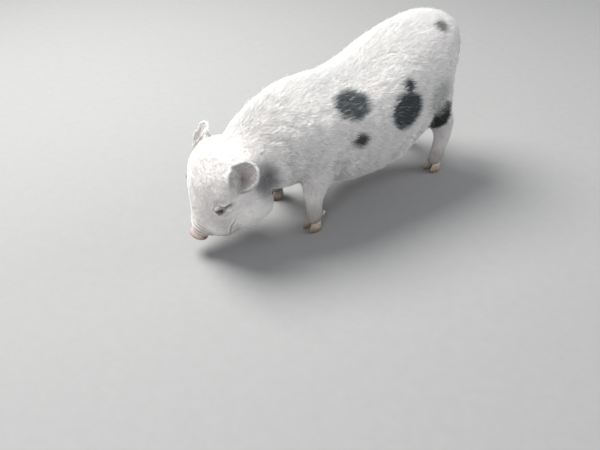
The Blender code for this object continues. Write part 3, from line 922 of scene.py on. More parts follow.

# %% [markdown]
# ## The skin's finish
#
# Under the coat the skin is pale pink, redder on the nose, the lips and the ears. It is painted darker
# as shade round the eyes, along the dips they lie in, in the nostrils, in its creases and deep in the
# ears, and the inner side of the ears is a greyer pink, painted darker still as shade in the cup. It
# is finely creased like an orange, and the lying bristles leave fine lines along the body. Earth
# clings to the feet, the belly and the end of the nose. The material starts from a plain colour and
# lays one thing after another over it, as a painter would.

# %% Skin and the earth on it
def dirt(shader, place):
    """How much earth lies on the surface, from its height and two sizes of noise."""
    height = shader.height(place)
    patch = shader.noise(place, 26.0, 4.0, 0.65)
    return (1.0 - (height + (patch - 0.5) * 0.11).rise(0.015, 0.120)) * (0.25 + patch)


def soiled(shader, place, colour, soil, earth):
    """The colour with earth over it, which also clings to the grimy end of the nose."""
    muzzle = shader.attribute("grime") * shader.noise(place, 70.0, 4.0, 0.7).rise(0.40, 0.66)
    return shader.mix(soil.above(muzzle), colour, earth)


def hide_material():
    shader = Shader("hide", Specular_IOR_Level=0.35, Subsurface_Weight=0.12, Subsurface_Scale=0.004)
    shader.surface.inputs["Subsurface Radius"].default_value = (1.0, 0.35, 0.2)
    place = shader.place()
    bare = shader.attribute("bare")
    flush = shader.attribute("flush")
    patch = shader.noise(place, 34.0, 4.0, 0.6)
    colour = shader.mix(patch.rise(0.30, 0.72), (0.77, 0.715, 0.68), (0.85, 0.81, 0.78))
    colour = shader.mix(flush * (0.55 + patch * 0.6), colour, (0.56, 0.38, 0.35))
    # the inner side of the ears: their own grey-pink skin, darkened further as painted shade in the cup
    colour = shader.mix(shader.attribute("hollow") * 0.85, colour, (0.31, 0.275, 0.265))
    nosey = shader.mix(patch.rise(0.35, 0.65), (0.60, 0.40, 0.36), (0.71, 0.55, 0.48))
    colour = shader.mix(bare, colour, nosey)
    # painted shade deep in the hollows of the ears and in the nostrils
    colour = shader.mix(shader.attribute("well") * 0.80, colour, (0.17, 0.140, 0.135))
    # painted shade in the skin's creases
    colour = shader.mix(shader.attribute("crease") * 0.55, colour, (0.36, 0.25, 0.22))
    # painted shade round the eyes, along their dips and in the nostrils
    colour = shader.mix(shader.attribute("dusk") * (0.50 + patch * 0.5), colour, (0.20, 0.175, 0.165))
    colour = marked(shader, place, colour, SPOT_SKINS)
    soil = dirt(shader, place)
    colour = soiled(shader, place, colour, soil, (0.155, 0.115, 0.085))
    stretched = shader.vector("MULTIPLY", place, (1.0, 0.16, 0.8))
    strands = shader.noise(stretched, 620.0, 3.0, 0.6)
    pores = shader.node("ShaderNodeTexVoronoi", {"feature": "F1"}, {"Vector": place, "Scale": 520.0})
    lines = shader.noise(place, 160.0, 3.0, 0.6)
    rough = 0.60 - bare * 0.18 + soil * 0.2
    bumps = ((strands * (1.0 - bare), 0.0012), (pores, 0.00035), (lines, 0.0007))
    return shader.finish(colour, rough, bumps)


HIDE = hide_material()
print("nodes in the skin's material:", len(HIDE.node_tree.nodes))

# %% [markdown]
# ## The bristles' finish
#
# White bristles are duller at the root and lighter at the tip, and no two have the same tone. Each
# tuft carries its own tone and the place of its root, so one material gives the whole coat both its
# variety and its spots, and nothing has to be painted on an image. Each also carries the shade painted
# on it round the eyes, deep in the ears and along their lower fringe.

# %% Bristles
def coat_material():
    shader = Shader("bristle", Roughness=0.55, Specular_IOR_Level=0.30)
    root = shader.attribute("root", "Vector")
    tone = shader.attribute("tone")
    tip = shader.attribute("tip")
    white = shader.mix(tone, (0.56, 0.545, 0.53), (0.94, 0.935, 0.92))
    white = shader.mix(tip * 0.5, white, (0.96, 0.955, 0.94))
    # painted shade on the tufts round the eyes, in the ears' hollows and along their lower fringe
    white = shader.mix(shader.attribute("dusk") * 0.85, white, (0.27, 0.25, 0.235))
    colour = marked(shader, root, white, SPOT_COATS)
    colour = shader.mix(tone.rise(0.80, 0.95) * 0.35, colour, (0.80, 0.80, 0.79))
    return shader.finish(soiled(shader, root, colour, dirt(shader, root) * 0.75, (0.20, 0.155, 0.115)))


COAT = coat_material()
print("nodes in the coat's material:", len(COAT.node_tree.nodes))

# %% [markdown]
# ## The horn's finish
#
# Horn grows down in rings from under the hair, where it is paler, and is streaked along its growth.
# A wave with noise in it gives the rings, and a noise stretched down the foot gives the streaks.
# Earth stains the edge that the animal walks on.

# %% Horn
def horn_material():
    shader = Shader("horn", Specular_IOR_Level=0.42)
    place = shader.place()
    height = shader.height(place)
    patch = shader.noise(place, 70.0, 4.0, 0.65)
    streaked = shader.noise(shader.vector("MULTIPLY", place, (1.0, 1.0, 0.08)), 900.0, 3.0, 0.6)
    waves = {"Vector": place, "Scale": 105.0, "Distortion": 6.0, "Detail": 3.0, "Detail Scale": 1.5}
    rings = shader.node("ShaderNodeTexWave", {"bands_direction": "Z"}, waves)
    colour = shader.mix(patch.rise(0.25, 0.75), (0.255, 0.205, 0.155), (0.52, 0.44, 0.35))
    colour = shader.mix(streaked.rise(0.48, 0.78) * 0.45, colour, (0.125, 0.100, 0.080))
    colour = shader.mix(height.rise(0.020, 0.028) * 0.6, colour, (0.60, 0.50, 0.42))
    earth = (1.0 - (height + (patch - 0.5) * 0.02).rise(0.001, 0.017)) * 0.85
    colour = shader.mix(earth, colour, (0.13, 0.095, 0.07))
    rough = 0.42 + earth * 0.35 + patch * 0.12
    return shader.finish(colour, rough, ((rings * patch, 0.00035), (streaked, 0.0002)))


HORN = horn_material()
print("nodes in the horn's material:", len(HORN.node_tree.nodes))

# %% [markdown]
# ## The eye's finish
#
# All of the eye is one wet surface. The pupil, the brown iris with its fibres, its dark edge and
# the white are rings round the line of sight, so one number at each point tells them all.

# %% Eye
def eye_material():
    shader = Shader("eye", Roughness=0.14, Coat_Weight=0.35, Coat_Roughness=0.06)
    gaze = shader.attribute("gaze")
    fibres = shader.noise(shader.place(), 900.0, 4.0, 0.7)
    iris = shader.mix(fibres, (0.016, 0.009, 0.005), (0.052, 0.029, 0.014))
    colour = shader.mix((gaze + (fibres - 0.5) * 0.02).rise(0.34, 0.40), (0.002, 0.002, 0.002), iris)
    colour = shader.mix(gaze.rise(0.74, 0.80), colour, (0.012, 0.008, 0.006))
    colour = shader.mix(gaze.rise(0.90, 1.00), colour, (0.30, 0.21, 0.18))
    return shader.finish(colour)


EYE = eye_material()
print("nodes in the eye's material:", len(EYE.node_tree.nodes))

# %% [markdown]
# ## Dressing the skin
#
# The skin now takes the place of all the flesh in the frame. It carries what its material reads, a
# number at each point for each thing: how bare, flushed, grimy, creased and hollow it is, and how much
# painted shade it takes round the eyes, in the nostrils and deep in the ears.
# Numbers on the points need no unwrap and follow the sculpted form exactly.

# %% The finished skin
# half length and half height of the opening of an eye, and of a nostril
RIM_HALF, NOSTRIL_HALF = (0.0125, 0.0065), (0.0042, 0.0058)
# where a nostril lies on the nose's disc: its rise and how far it is from the middle
NOSTRIL_RISE, NOSTRIL_APART = 0.0040, 0.0098
# the deepest place of an ear from its root, and how wide the shade in it reaches
EAR_WELL, EAR_WELL_WIDTH = (0.0170, 0.0060, 0.0200), 0.0170
LIP_HALF = 0.0055
DIP_LINES = [laid(tree_of(skin.data), slit_path(side)) for side in (1, -1)]


def give(mesh, name, values):
    """A number or a place at each point of the mesh, for the material to read."""
    kind, key = ("FLOAT", "value") if np.ndim(values) == 1 else ("FLOAT_VECTOR", "vector")
    layer = mesh.attributes.new(name, kind, "POINT")
    layer.data.foreach_set(key, np.asarray(values, dtype=np.float32).ravel())


def inner_ear(normals, mask):
    """1 on the hollow side of the ears, which faces forward and outward."""
    inside = np.zeros(len(normals))
    for word, (_, _, _, facing, _) in EARS.items():
        inside = np.maximum(inside, mask["ear_" + word] * rising(normals @ facing, 0.15, 0.6))
    return inside


def nostril_marks(points):
    """1 inside the two nostrils of the nose's disc."""
    share, across, rise = head_parts(points)
    half, height = NOSTRIL_HALF
    spans = np.stack((np.abs(across) / half, (rise - NOSTRIL_RISE) / height), 1)
    spans[:, 0] -= NOSTRIL_APART / half
    return (1 - rising(lengths(spans), 0.55, 1.05)) * rising(share, 0.86, 0.92)


def face_marks(points, normals, mask):
    """How bare, flushed and grimy the skin is at each point, and its painted shade by eyes and nostrils."""
    share, _, rise = head_parts(points)
    rims, dusk = np.zeros(len(points)), np.zeros(len(points))
    for side in (1, -1):
        out, slit, over = (np.array(way) for way in EYE_WAYS[side])
        away = points - np.array(EYES[side])
        flat = lengths(np.stack((away @ slit / RIM_HALF[0], away @ over / RIM_HALF[1]), 1))
        front = rising(away @ out, 0.0, 0.006)
        rims = np.maximum(rims, (1 - rising(flat, 0.7, 1.2)) * front)
        # painted shade round the opening of the eye
        dusk = np.maximum(dusk, 0.55 * (1 - rising(flat, 0.95, 1.55)) * front)
    lips = np.exp(-(((rise - mouth_rise(share)) / LIP_HALF) ** 2)) * rising(share, 0.50, 0.62)
    lips *= mask["head"]
    # painted shade along the dip that each eye lies in
    for path in DIP_LINES:
        apart, where = line_distance(points, path)
        dusk = np.maximum(dusk, (1 - rising(apart, 0.0040, 0.0090)) * (1 - rising(where, 0.88, 1.05)))
    bare = np.maximum.reduce([mask["nose"], 0.5 * rims, 0.4 * lips, 0.22 * dusk])
    # painted shade also on the rims of the lids and in the nostrils
    dusk = np.maximum.reduce([dusk, 0.90 * rims, 0.7 * nostril_marks(points)])
    soft_parts = [0.30 * inner_ear(normals, mask), 0.3 * rims, 0.25 * lips]
    soft_parts += [0.20 * mask["ear"], 0.25 * mask["belly"]]
    grime = rising(share, 0.80, 1.0) * mask["head"] * (1 - 0.4 * rising(rise, 0.0, 0.03))
    return bare, np.maximum.reduce(soft_parts), grime, dusk


def ear_wells(points):
    """1 deep in the hollow of an ear, fading over its lobe and towards its tip."""
    deep = np.zeros(len(points))
    for word in EAR_ROOTS:
        apart = lengths(points - np.array(by_ear(word, (EAR_WELL,))[0]))
        deep = np.maximum(deep, np.exp(-((apart / EAR_WELL_WIDTH) ** 2)))
    return deep


skin.name = skin.data.name = "skin"
points, normals = points_of(skin.data), normals_of(skin.data)
bare, flush, grime, dusk = face_marks(points, normals, mask)
# how far the skin sinks into a crease, where the skin's material paints shade
crease_share = rising(-bulge, 0.0001, 0.0011)
# the inner side of the ears, which the skin's material darkens partly as painted shade
hollow = inner_ear(normals, mask)
# painted shade deep in the ears' hollows and the dips beside them, and in the nostrils
well = ear_wells(points) * np.maximum(hollow, ear_hollows(points))
well = np.maximum(well, nostril_marks(points))
skin_marks = {"bare": bare, "flush": flush, "grime": grime, "dusk": dusk}
skin_marks |= {"crease": crease_share, "hollow": hollow, "well": well}
for name, values in skin_marks.items():
    give(skin.data, name, values)
print("share of the skin marked:", {key: round(float(v.mean()), 3) for key, v in skin_marks.items()})
skin.data.materials.clear()
skin.data.materials.append(HIDE)
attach(skin, "root")
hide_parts(*FLESH)

# %% [markdown]
# ## Eyes
#
# A pig's eye is small and dark, with a brown iris and a wide pupil, and it sits deep between fat
# lids. The ball is a sphere with the clear cornea swelling out of its front. How far a point lies
# from the line of sight is kept on it, and the iris and pupil are drawn by that.

# %% Eyeballs
# the cornea's half angle in degrees, its rise in radii, and the angle that counts as 1 in the gaze
CORNEA_ANGLE, CORNEA_RISE, GAZE_ANGLE = 48, 0.075, 60


def eyeball(word, side):
    low, high = corners_of("eye_" + word)
    radius = (high - low).x / 2
    gaze = EYE_WAYS[side][0]
    bm = bmesh.new()
    bmesh.ops.create_uvsphere(bm, u_segments=64, v_segments=48, radius=radius)
    turn = gaze.to_track_quat("Z", "Y").to_matrix()
    for v in bm.verts:
        share = math.degrees(v.co.normalized().angle(Vector((0, 0, 1)))) / CORNEA_ANGLE
        if share < 1:
            v.co.z += radius * CORNEA_RISE * (1 - share * share)
        v.co = turn @ v.co + EYES[side]
    piece = shaped("eyeball_" + word, bm)
    away = unit(points_of(piece.data) - np.array(EYES[side]))
    angle = np.degrees(np.arccos(np.clip(away @ np.array(gaze), -1, 1)))
    give(piece.data, "gaze", angle / GAZE_ANGLE)
    piece.data.shade_smooth()
    piece.data.materials.append(EYE)
    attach(piece, "root")
    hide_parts("eye_" + word)
    return radius


for word, side in (("left", 1), ("right", -1)):
    print(f"{word} eye's radius {eyeball(word, side) * 1000:.2f} mm")

# %% [markdown]
# ## Horn of the feet
#
# Each foot stands on two hooves and carries two small dewclaws behind. The solids give their shape,
# which is melted finely so that its edges round over, then ringed by growth and chipped a little.
# A hoof also narrows towards its toe and under the hair, and a dewclaw is set against its leg.

# %% Hooves and dewclaws
# voxel and distance between rings of growth of each kind
HORN_GROWTH = {"hoof": (0.0012, 0.0042), "dewclaw": (0.0011, 0.0030)}
TOE_NARROWS, TOP_NARROWS, TOP_SHORTENS = 0.30, 0.14, 0.09
# the height above which a hoof narrows, and how far a dewclaw moves towards its leg
HOOF_LOW, TUCK = 0.008, 0.0045
RING_DEPTH, CHIP_DEPTH = 0.00009, 0.00025


def hoof_form(points):
    """Points of a hoof drawn in towards its toe and towards its upper edge, which the skin covers."""
    low, high = points.min(axis=0), points.max(axis=0)
    middle, half = (low + high) / 2, (high - low) / 2
    toe = rising((middle[1] - points[:, 1]) / half[1], 0.0, 1.1)
    top = rising(points[:, 2], HOOF_LOW, high[2])
    away = points - middle
    away[:, 0] *= (1 - TOE_NARROWS * toe) * (1 - TOP_NARROWS * top)
    away[:, 1] *= 1 - TOP_SHORTENS * top
    return middle + away


def tucked(points, node):
    """Points of a dewclaw moved against its leg, whose skin lies a little inside the solid one."""
    foot = node.replace("dewclaw_", "").rsplit("_", 1)[0]
    middle = (centre_of(f"hoof_{foot}_left") + centre_of(f"hoof_{foot}_right")) / 2
    way = np.array(middle) - points.mean(axis=0)
    way[2] = 0
    return points + unit(way) * TUCK


def horn_piece(node, kind):
    voxel, ring = HORN_GROWTH[kind]
    piece = changed(joined_nodes("horn_" + node, [node]), melting(voxel), smoothing(11))
    points, normals = points_of(piece.data), normals_of(piece.data)
    points = hoof_form(points) if kind == "hoof" else tucked(points, node)
    grooves = 0.5 * np.sin(points[:, 2] * 2 * math.pi / ring + 5 * ripple(points, 0.03, 5))
    chips = ripple(points, 0.006, 8) * rising(0.012 - points[:, 2], 0.0, 0.010)
    free = rising(points[:, 2], 0.0015, 0.004)
    out = (RING_DEPTH * grooves + CHIP_DEPTH * chips) * free
    set_points(piece.data, points + normals * out[:, None])
    piece.data.shade_smooth()
    piece.data.materials.clear()
    piece.data.materials.append(HORN)
    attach(piece, "root")
    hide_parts(node)
    return len(piece.data.polygons)


kinds = {node: node.split("_")[0] for node in NODES if node.startswith(tuple(HORN_GROWTH))}
print("horn faces:", sum(horn_piece(node, kind) for node, kind in kinds.items()))

# %% [markdown]
# ## The coat
#
# A pot-bellied pig has short stiff bristles with no undercoat. They start at the nose, run back
# over the face and neck, and go on back and down the sides and down the legs. Each tuft here is a
# slim three-sided spike with a bend, made once and copied along the lie of the hair. It is longest
# over the neck and back and shortest on the face and feet. Everything random is seeded.

# %% One tuft
def tuft_template():
    """Corners of a unit tuft standing on its root, and its faces."""
    bm = bmesh.new()
    sizes = {"segments": 3, "radius1": 0.5, "radius2": 0.45, "depth": 0.45}
    bmesh.ops.create_cone(bm, cap_ends=True, cap_tris=False, **sizes)
    bmesh.ops.translate(bm, verts=bm.verts, vec=(0, 0, 0.225))
    top = max(bm.faces, key=lambda f: f.calc_center_median().z)
    tip = bmesh.ops.poke(bm, faces=[top])["verts"][0]
    tip.co = Vector((0, 0, 1))
    bm.verts.index_update()
    corners = np.array([v.co for v in bm.verts])
    bmesh.ops.triangulate(bm, faces=bm.faces)
    faces = np.array([[v.index for v in f.verts] for f in bm.faces])
    bm.free()
    return corners, faces


TUFT, TUFT_FACES = tuft_template()
print("one tuft:", len(TUFT), "points,", len(TUFT_FACES), "triangles")

# %% [markdown]
# ## Roots, and the lie of the coat
#
# Tufts root at random but evenly: each takes the same share of the skin's area, weighed by how
# dense the coat is there. The directions of trunk, head, legs, ears and tail are mixed by the
# regions, then laid flat into the skin, with a slow swirl so that no two places look combed alike.

# %% Where tufts root and which way they lie
def lie_of_coat(points, normals, mask):
    """Unit directions in the skin along which the bristles lie."""
    side = np.sign(points[:, 0])
    low = rising(0.30 - points[:, 2], 0.0, 0.20)
    way = np.stack((0.10 * side * low, np.ones(len(points)), -0.25 - 0.45 * low), axis=1)
    rump = rising(points[:, 1], 0.28, 0.38)
    way[:, 2] -= 1.1 * rump
    face = -np.array(ALONG) + 0.15 * np.array(BROW)
    _, across, _ = head_parts(points)
    cheek = np.clip(np.abs(across) / 0.07, 0, 1)[:, None] * np.array((0.0, 0.35, -0.55))
    way = way * (1 - mask["head"])[:, None] + (face + cheek) * mask["head"][:, None]
    leg = mask["leg"][:, None]
    way = way * (1 - leg) + np.array((0.0, 0.25, -1.0)) * leg
    for word in ("left", "right"):
        ear = mask["ear_" + word][:, None]
        way = way * (1 - ear) + EAR_WAY[word] * ear
    tail = mask["tail"][:, None]
    way = way * (1 - tail) + np.array((0.0, 0.12, -1.0)) * tail
    way = unit(way)
    swirl = np.stack([ripple(points, 0.045, k) for k in (21, 22, 23)], axis=1)
    way = way + 0.16 * swirl
    return unit(way - normals * (way * normals).sum(axis=1)[:, None])


def area_roots(mesh, density, count, draw):
    """Seeded places on the mesh, denser where density is higher: three points and their shares."""
    mesh.calc_loop_triangles()
    corners = np.empty(len(mesh.loop_triangles) * 3, dtype=np.int64)
    mesh.loop_triangles.foreach_get("vertices", corners)
    corners = corners.reshape(-1, 3)
    points = points_of(mesh)
    a, b, c = (points[corners[:, k]] for k in range(3))
    weight = lengths(np.cross(b - a, c - a)) / 2 * density[corners].mean(axis=1)
    total = np.cumsum(weight)
    steps = (np.arange(count) + draw.uniform(0, 1, count)) * total[-1] / count
    chosen = corners[np.searchsorted(total, steps)]
    u, v = draw.uniform(0, 1, (2, count))
    fold = u + v > 1
    u, v = np.where(fold, 1 - u, u), np.where(fold, 1 - v, v)
    return chosen, np.stack((1 - u - v, u, v), axis=1)


def carried(values, chosen, shares):
    """Values of the mesh's points brought to the roots."""
    if values.ndim == 1:
        return (values[chosen] * shares).sum(axis=1)
    return (values[chosen] * shares[:, :, None]).sum(axis=1)


# how far an ear's rim stands out of the skin smoothed, and where the fringe's band fades
RIM_BULGE, RIM_BAND = 0.0006, (0.0022, 0.0055)


def furred_rims(points, mask):
    """1 along the edges of the ears and for a few millimetres inwards."""
    edge = np.nonzero((bulge > RIM_BULGE) & (mask["ear"] > 0.5))[0]
    found = KDTree(len(edge))
    for k in edge:
        found.insert(Vector(points[k]), int(k))
    found.balance()
    band = np.zeros(len(points))
    for k in np.nonzero(mask["ear"] > 0.3)[0]:
        band[k] = 1 - rising(found.find(Vector(points[k]))[2], *RIM_BAND)
    return np.maximum(band * mask["ear"], rising(bulge, 0.0002, 0.0007) * mask["ear"])


rim = furred_rims(points, mask)
print("points on the ears' rims:", int((rim > 0.5).sum()))
density = 1 + 0.9 * mask["head"] + 0.8 * mask["muzzle"] + 0.9 * mask["leg"] + 1.3 * mask["tail"]
density += 0.8 * mask["ear"] + 1.5 * mask["leg"] * (1 - rising(points[:, 2], 0.030, 0.038))
inside_ear = 0.75 * hollow * (1 - rim)
density *= (1 - np.clip(1.3 * bare, 0, 1)) * (1 - 0.35 * mask["belly"]) * (1 - inside_ear)
density += 6.0 * rim + 0.8 * crease_share * (1 - bare)
density *= rising(points[:, 2], 0.0245, 0.0275)
TUFTS = 138000
draw = np.random.default_rng(SEED)
where, shares = area_roots(skin.data, density, TUFTS, draw)
roots = carried(points, where, shares)
root_normals = unit(carried(normals, where, shares))
root_rim = carried(rim, where, shares)
root_crease = carried(crease_share, where, shares)
root_mask = regions(roots)
ways = lie_of_coat(roots, root_normals, root_mask)
print("tufts rooted:", len(roots))

# %% [markdown]
# ## The form and tone of each tuft
#
# Every tuft has its length, width and lift by its place, then by chance. A few stray ones stand up
# from the rest, those on the rims of the ears make a fringe, and those on the legs hang over the
# horn. The tone goes in clumps and streaks at random. On the nape it is painted darker, with
# stronger streaks, as shade among the bristles, and the ears' fringe is painted lighter along its
# upper edge and darker along its lower, as light and shade.

# %% How long, wide and raised each tuft is
COAT_LENGTH, LONGER_BACK = 0.0165, 0.0075
COAT_WIDTH, COAT_LIFT = 0.0011, 0.20
# the length that takes over in each place, one after the other
PLACE_LENGTHS = (
    ("low", 0.0160),
    ("head", 0.0095),
    ("muzzle", 0.0052),
    ("leg", 0.0068),
    ("foot", 0.0095),
    ("ear", 0.0075),
    ("tail", 0.0100),
    ("tail_end", 0.0270),
)
RIM_LENGTH = 0.0100
STRAYS, STRAY_LIFT = 0.035, 0.25
# the way up towards the light, along which the ears' fringe goes from painted shade to painted light
FRINGE_WAY = unit(np.array((-0.5, 0.2, 0.85)))
# the coat's middle tone, and how much darker the nape is painted as shade
TONE, NAPE_SHADE = 0.56, 0.26


def blend(value, part, amount):
    return value * (1 - part) + amount * part


def tuft_sizes(points, mask):
    """Length, root width and lift of each tuft, before the random spread."""
    height = points[:, 2]
    parts = dict(mask)
    parts["low"] = rising(0.16 - height, 0.0, 0.06)
    parts["foot"] = foot = mask["leg"] * (1 - rising(height, 0.030, 0.042))
    parts["tail_end"] = mask["tail"] * (1 - rising(height, 0.150, 0.195))
    length = COAT_LENGTH + LONGER_BACK * mask["back"] * (1 - rising(points[:, 1], 0.10, 0.30))
    for name, amount in PLACE_LENGTHS:
        length = blend(length, parts[name], amount)
    width = COAT_WIDTH - 0.0004 * mask["head"] - 0.0002 * mask["muzzle"] - 0.0004 * mask["leg"]
    width -= 0.0002 * mask["ear"] * (1 - mask["head"])
    lift = COAT_LIFT + 0.08 * mask["back"] - 0.05 * mask["head"] - 0.09 * mask["leg"]
    lift += 0.08 * mask["belly"]
    return length, width, lift + 0.16 * foot


def upper_edges(points, mask):
    """1 along the upper edge of each ear, where the fringe is painted light, and 0 along the lower, painted
    shade.
    """
    upper = np.zeros(len(points))
    for word in EAR_ROOTS:
        rise = (points - EAR_MIDDLE[word]) @ FRINGE_WAY
        upper = np.maximum(upper, rising(rise, -0.012, 0.010) * mask["ear_" + word])
    return upper


def nape_share(points, mask):
    """1 between and behind the ears, where the coat's tone is painted darker as shade."""
    nape = rising(points[:, 1], -0.300, -0.262) * (1 - rising(points[:, 1], -0.225, -0.150))
    return nape * (rising(points[:, 2], 0.20, 0.25) * (1 - mask["ear"]))


length, width, lift = tuft_sizes(roots, root_mask)
length = blend(length, root_rim, RIM_LENGTH)
width = width * 0.86 * (1 + 0.35 * root_rim)
lift = lift + 0.20 * root_rim + 0.10 * root_crease
clump = ripple(roots, 0.016, 31)
streak = ripple(roots * (1.0, 0.25, 0.8), 0.0075, 33)
streak *= (1 - 0.6 * root_mask["head"]) * (1 - 0.6 * root_mask["leg"])
length = length * draw.uniform(0.70, 1.25, TUFTS)
width = width * draw.uniform(0.75, 1.25, TUFTS)
lift = lift * draw.uniform(0.3, 1.5, TUFTS) + 0.05 * clump
stray = draw.uniform(0, 1, TUFTS) < STRAYS * (1 - root_mask["head"])
lift = np.where(stray, lift + STRAY_LIFT, lift) + 0.07 * streak
upper = upper_edges(roots, root_mask)
nape = nape_share(roots, root_mask)
# painted shade on the nape: a lower tone and stronger streaks
tone = TONE + 0.10 * clump + (0.26 + 0.20 * nape) * streak - NAPE_SHADE * nape
# the ears' fringe: painted light along the upper edge, painted shade along the lower
tone = tone + root_rim * (0.80 * upper - 0.40)
tone = np.clip(tone + draw.normal(0, 0.17, TUFTS), 0, 1)
yaw = draw.normal(0, 0.16, TUFTS)
across = np.cross(root_normals, ways)
ways = unit(ways * np.cos(yaw)[:, None] + across * np.sin(yaw)[:, None])
across = np.cross(root_normals, ways)
curl = draw.normal(0, 0.06, TUFTS)
print("longest tuft", round(float(length.max()) * 1000, 1), "mm")

# %% [markdown]
# ## Laying the tufts
#
# The coat is one mesh for each region, so that no piece grows too heavy. Every tuft keeps its
# root's place, its tone and how near the tip a point is. Its small patch of the bake map lies at
# the root's place on the region unrolled: along it one way and round it the other.

# %% Tufts as a mesh
ROOT_SINK = 0.0004
# a tuft's share of the bake map's width, and how far it bows against its own lift
PATCH, BEND = 0.003, 0.30


def unrolled(points, start, end, up):
    """Share along the line from start to end, and share of the turn round it."""
    start, end = np.array(start), np.array(end)
    line = unit(end - start)
    up = unit(np.array(up) - line * (line @ np.array(up)))
    aside = np.cross(line, up)
    away = points - start
    along = away @ line
    turn = np.arctan2(away @ aside, away @ up) / (2 * math.pi) + 0.5
    return np.stack((along, turn), axis=1)


def landed(places, ways, normals, length, lift):
    """Where each tuft's tip comes to lie: over the nearest skin, by its lift."""
    tree = tree_of(skin.data)
    tips = places + ways * (length * 0.97)[:, None]
    height = length * lift
    found = [tree.find_nearest(Vector(tip)) for tip in tips]
    ground = np.array([hit[0] for hit in found])
    up = unit(np.array([hit[1] for hit in found]) * 0.7 + normals * 0.3)
    return ground + up * height[:, None]


def tuft_corners(tufts):
    """Where the corners of each tuft lie, along a curve from its root over the skin to its tip."""
    t = TUFT[:, 2][None, :, None]
    root, tip = tufts["root"][:, None, :], tufts["tip"][:, None, :]
    reach, flat = tufts["length"][:, None, None], tufts["width"][:, None, None]
    normal, across = tufts["normal"][:, None, :], tufts["across"][:, None, :]
    bow = 4 * t * (1 - t) * BEND * tufts["lift"][:, None, None] * reach
    rise = bow + 0.55 * flat * TUFT[:, 1][None, :, None] - ROOT_SINK * (1 - t)
    aside = reach * tufts["curl"][:, None, None] * t * t + flat * TUFT[:, 0][None, :, None]
    return root * (1 - t) + tip * t + normal * rise + across * aside


def tuft_mesh(name, tufts, line, up):
    """Tufts as one mesh with what the coat's material reads, its bake map laid out round a line."""
    count, size = len(tufts["root"]), len(TUFT)
    faces = (TUFT_FACES[None] + (np.arange(count) * size)[:, None, None]).reshape(-1, 3)
    mesh = bpy.data.meshes.new(name)
    mesh.vertices.add(count * size)
    mesh.vertices.foreach_set("co", tuft_corners(tufts).astype(np.float32).ravel())
    mesh.loops.add(faces.size)
    mesh.loops.foreach_set("vertex_index", faces.astype(np.int32).ravel())
    mesh.polygons.add(len(faces))
    mesh.polygons.foreach_set("loop_start", np.arange(0, faces.size, 3, dtype=np.int32))
    mesh.update(calc_edges=True)
    give(mesh, "tip", np.tile(TUFT[:, 2], count))
    for key in ("tone", "grime", "dusk", "root"):
        give(mesh, key, np.repeat(tufts[key], size, axis=0))
    spread = unrolled(tufts["root"], *line, up)
    low, high = spread[:, 0].min(), spread[:, 0].max()
    spread[:, 0] = (spread[:, 0] - low) / max(high - low, 1e-6)
    patch = np.stack((TUFT[:, 2] - 0.5, TUFT[:, 0]), axis=1) * PATCH
    places = (PATCH + (1 - 2 * PATCH) * spread[:, None, :] + patch[None]).reshape(-1, 2)
    uv = mesh.uv_layers.new(name="OFBake")
    uv.data.foreach_set("uv", places[faces.ravel()].astype(np.float32).ravel())
    mesh.shade_smooth()
    mesh.materials.append(COAT)
    piece = linked(name, mesh)
    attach(piece, "root")
    return len(faces)


print("a tuft's root sinks", ROOT_SINK * 1000, "mm into the skin")

# %% [markdown]
# ## Pieces of the coat
#
# Each tuft goes to the region whose mask is strongest at its root. The trunk is cut into four
# lengths on either side, and the head into face and poll. Each piece is unrolled round a line that
# runs down its middle.

# %% Coat pieces
def main_region(mask):
    """The region each tuft belongs to, by the strongest of the masks."""
    names = ["trunk", "head", "ear_left", "ear_right", "leg", "tail"]
    score = [np.full(len(roots), 0.5)]
    score += [mask[name] * (1.1 if "ear" in name else 1) for name in names[1:]]
    return np.array(names)[np.argmax(np.stack(score), axis=0)]


# painted shade round the eyes and along their dips, for the tufts
_, _, root_grime, root_painted_shade = face_marks(roots, root_normals, root_mask)
# the painted shade deep in the ears and in the nostrils, carried to the tufts
root_painted_shade = np.maximum(root_painted_shade, 0.75 * carried(well, where, shares))
# painted shade along the lower fringe of the ears
root_painted_shade = np.maximum(root_painted_shade, 0.35 * root_rim * (1 - upper))
coat = {"root": roots, "normal": root_normals, "across": across, "length": length, "width": width}
coat |= {"lift": lift, "curl": curl, "tone": tone, "grime": root_grime, "dusk": root_painted_shade}
coat["tip"] = landed(roots, ways, root_normals, length, lift)
region = main_region(root_mask)
PARTS = (("shoulder", -1.0, -0.11), ("ribs", -0.11, 0.04), ("flank", 0.04, 0.19), ("ham", 0.19, 1.0))
LEG_LINES = {"front": (0.080, -0.11), "hind": (0.082, 0.30)}
TRUNK_LINE = ((0, -0.30, 0.24), (0, 0.40, 0.24))
TAIL_LINE = ((0, 0.38, 0.40), (0, 0.39, 0.10))
HEAD_LINE = (on_head(-0.3, 0, -0.03), on_head(1.05, 0, -0.01))
pieces = []
trunk = region == "trunk"
for side, word in ((1, "left"), (-1, "right")):
    for part, start, end in PARTS:
        inside = trunk & (roots[:, 0] * side > 0) & (roots[:, 1] > start) & (roots[:, 1] <= end)
        pieces.append((f"coat_{part}_{word}", inside, TRUNK_LINE, (0, 0, -1)))
    head = (region == "head") & (roots[:, 0] * side > 0)
    face = head_parts(roots)[0] > 0.38
    pieces.append((f"coat_face_{word}", head & face, HEAD_LINE, -BROW))
    pieces.append((f"coat_poll_{word}", head & ~face, HEAD_LINE, -BROW))
    ear_line = (EAR_MIDDLE[word], EAR_MIDDLE[word] + EAR_WAY[word] * 0.05)
    pieces.append((f"coat_ear_{word}", region == "ear_" + word, ear_line, (0, 1, 0)))
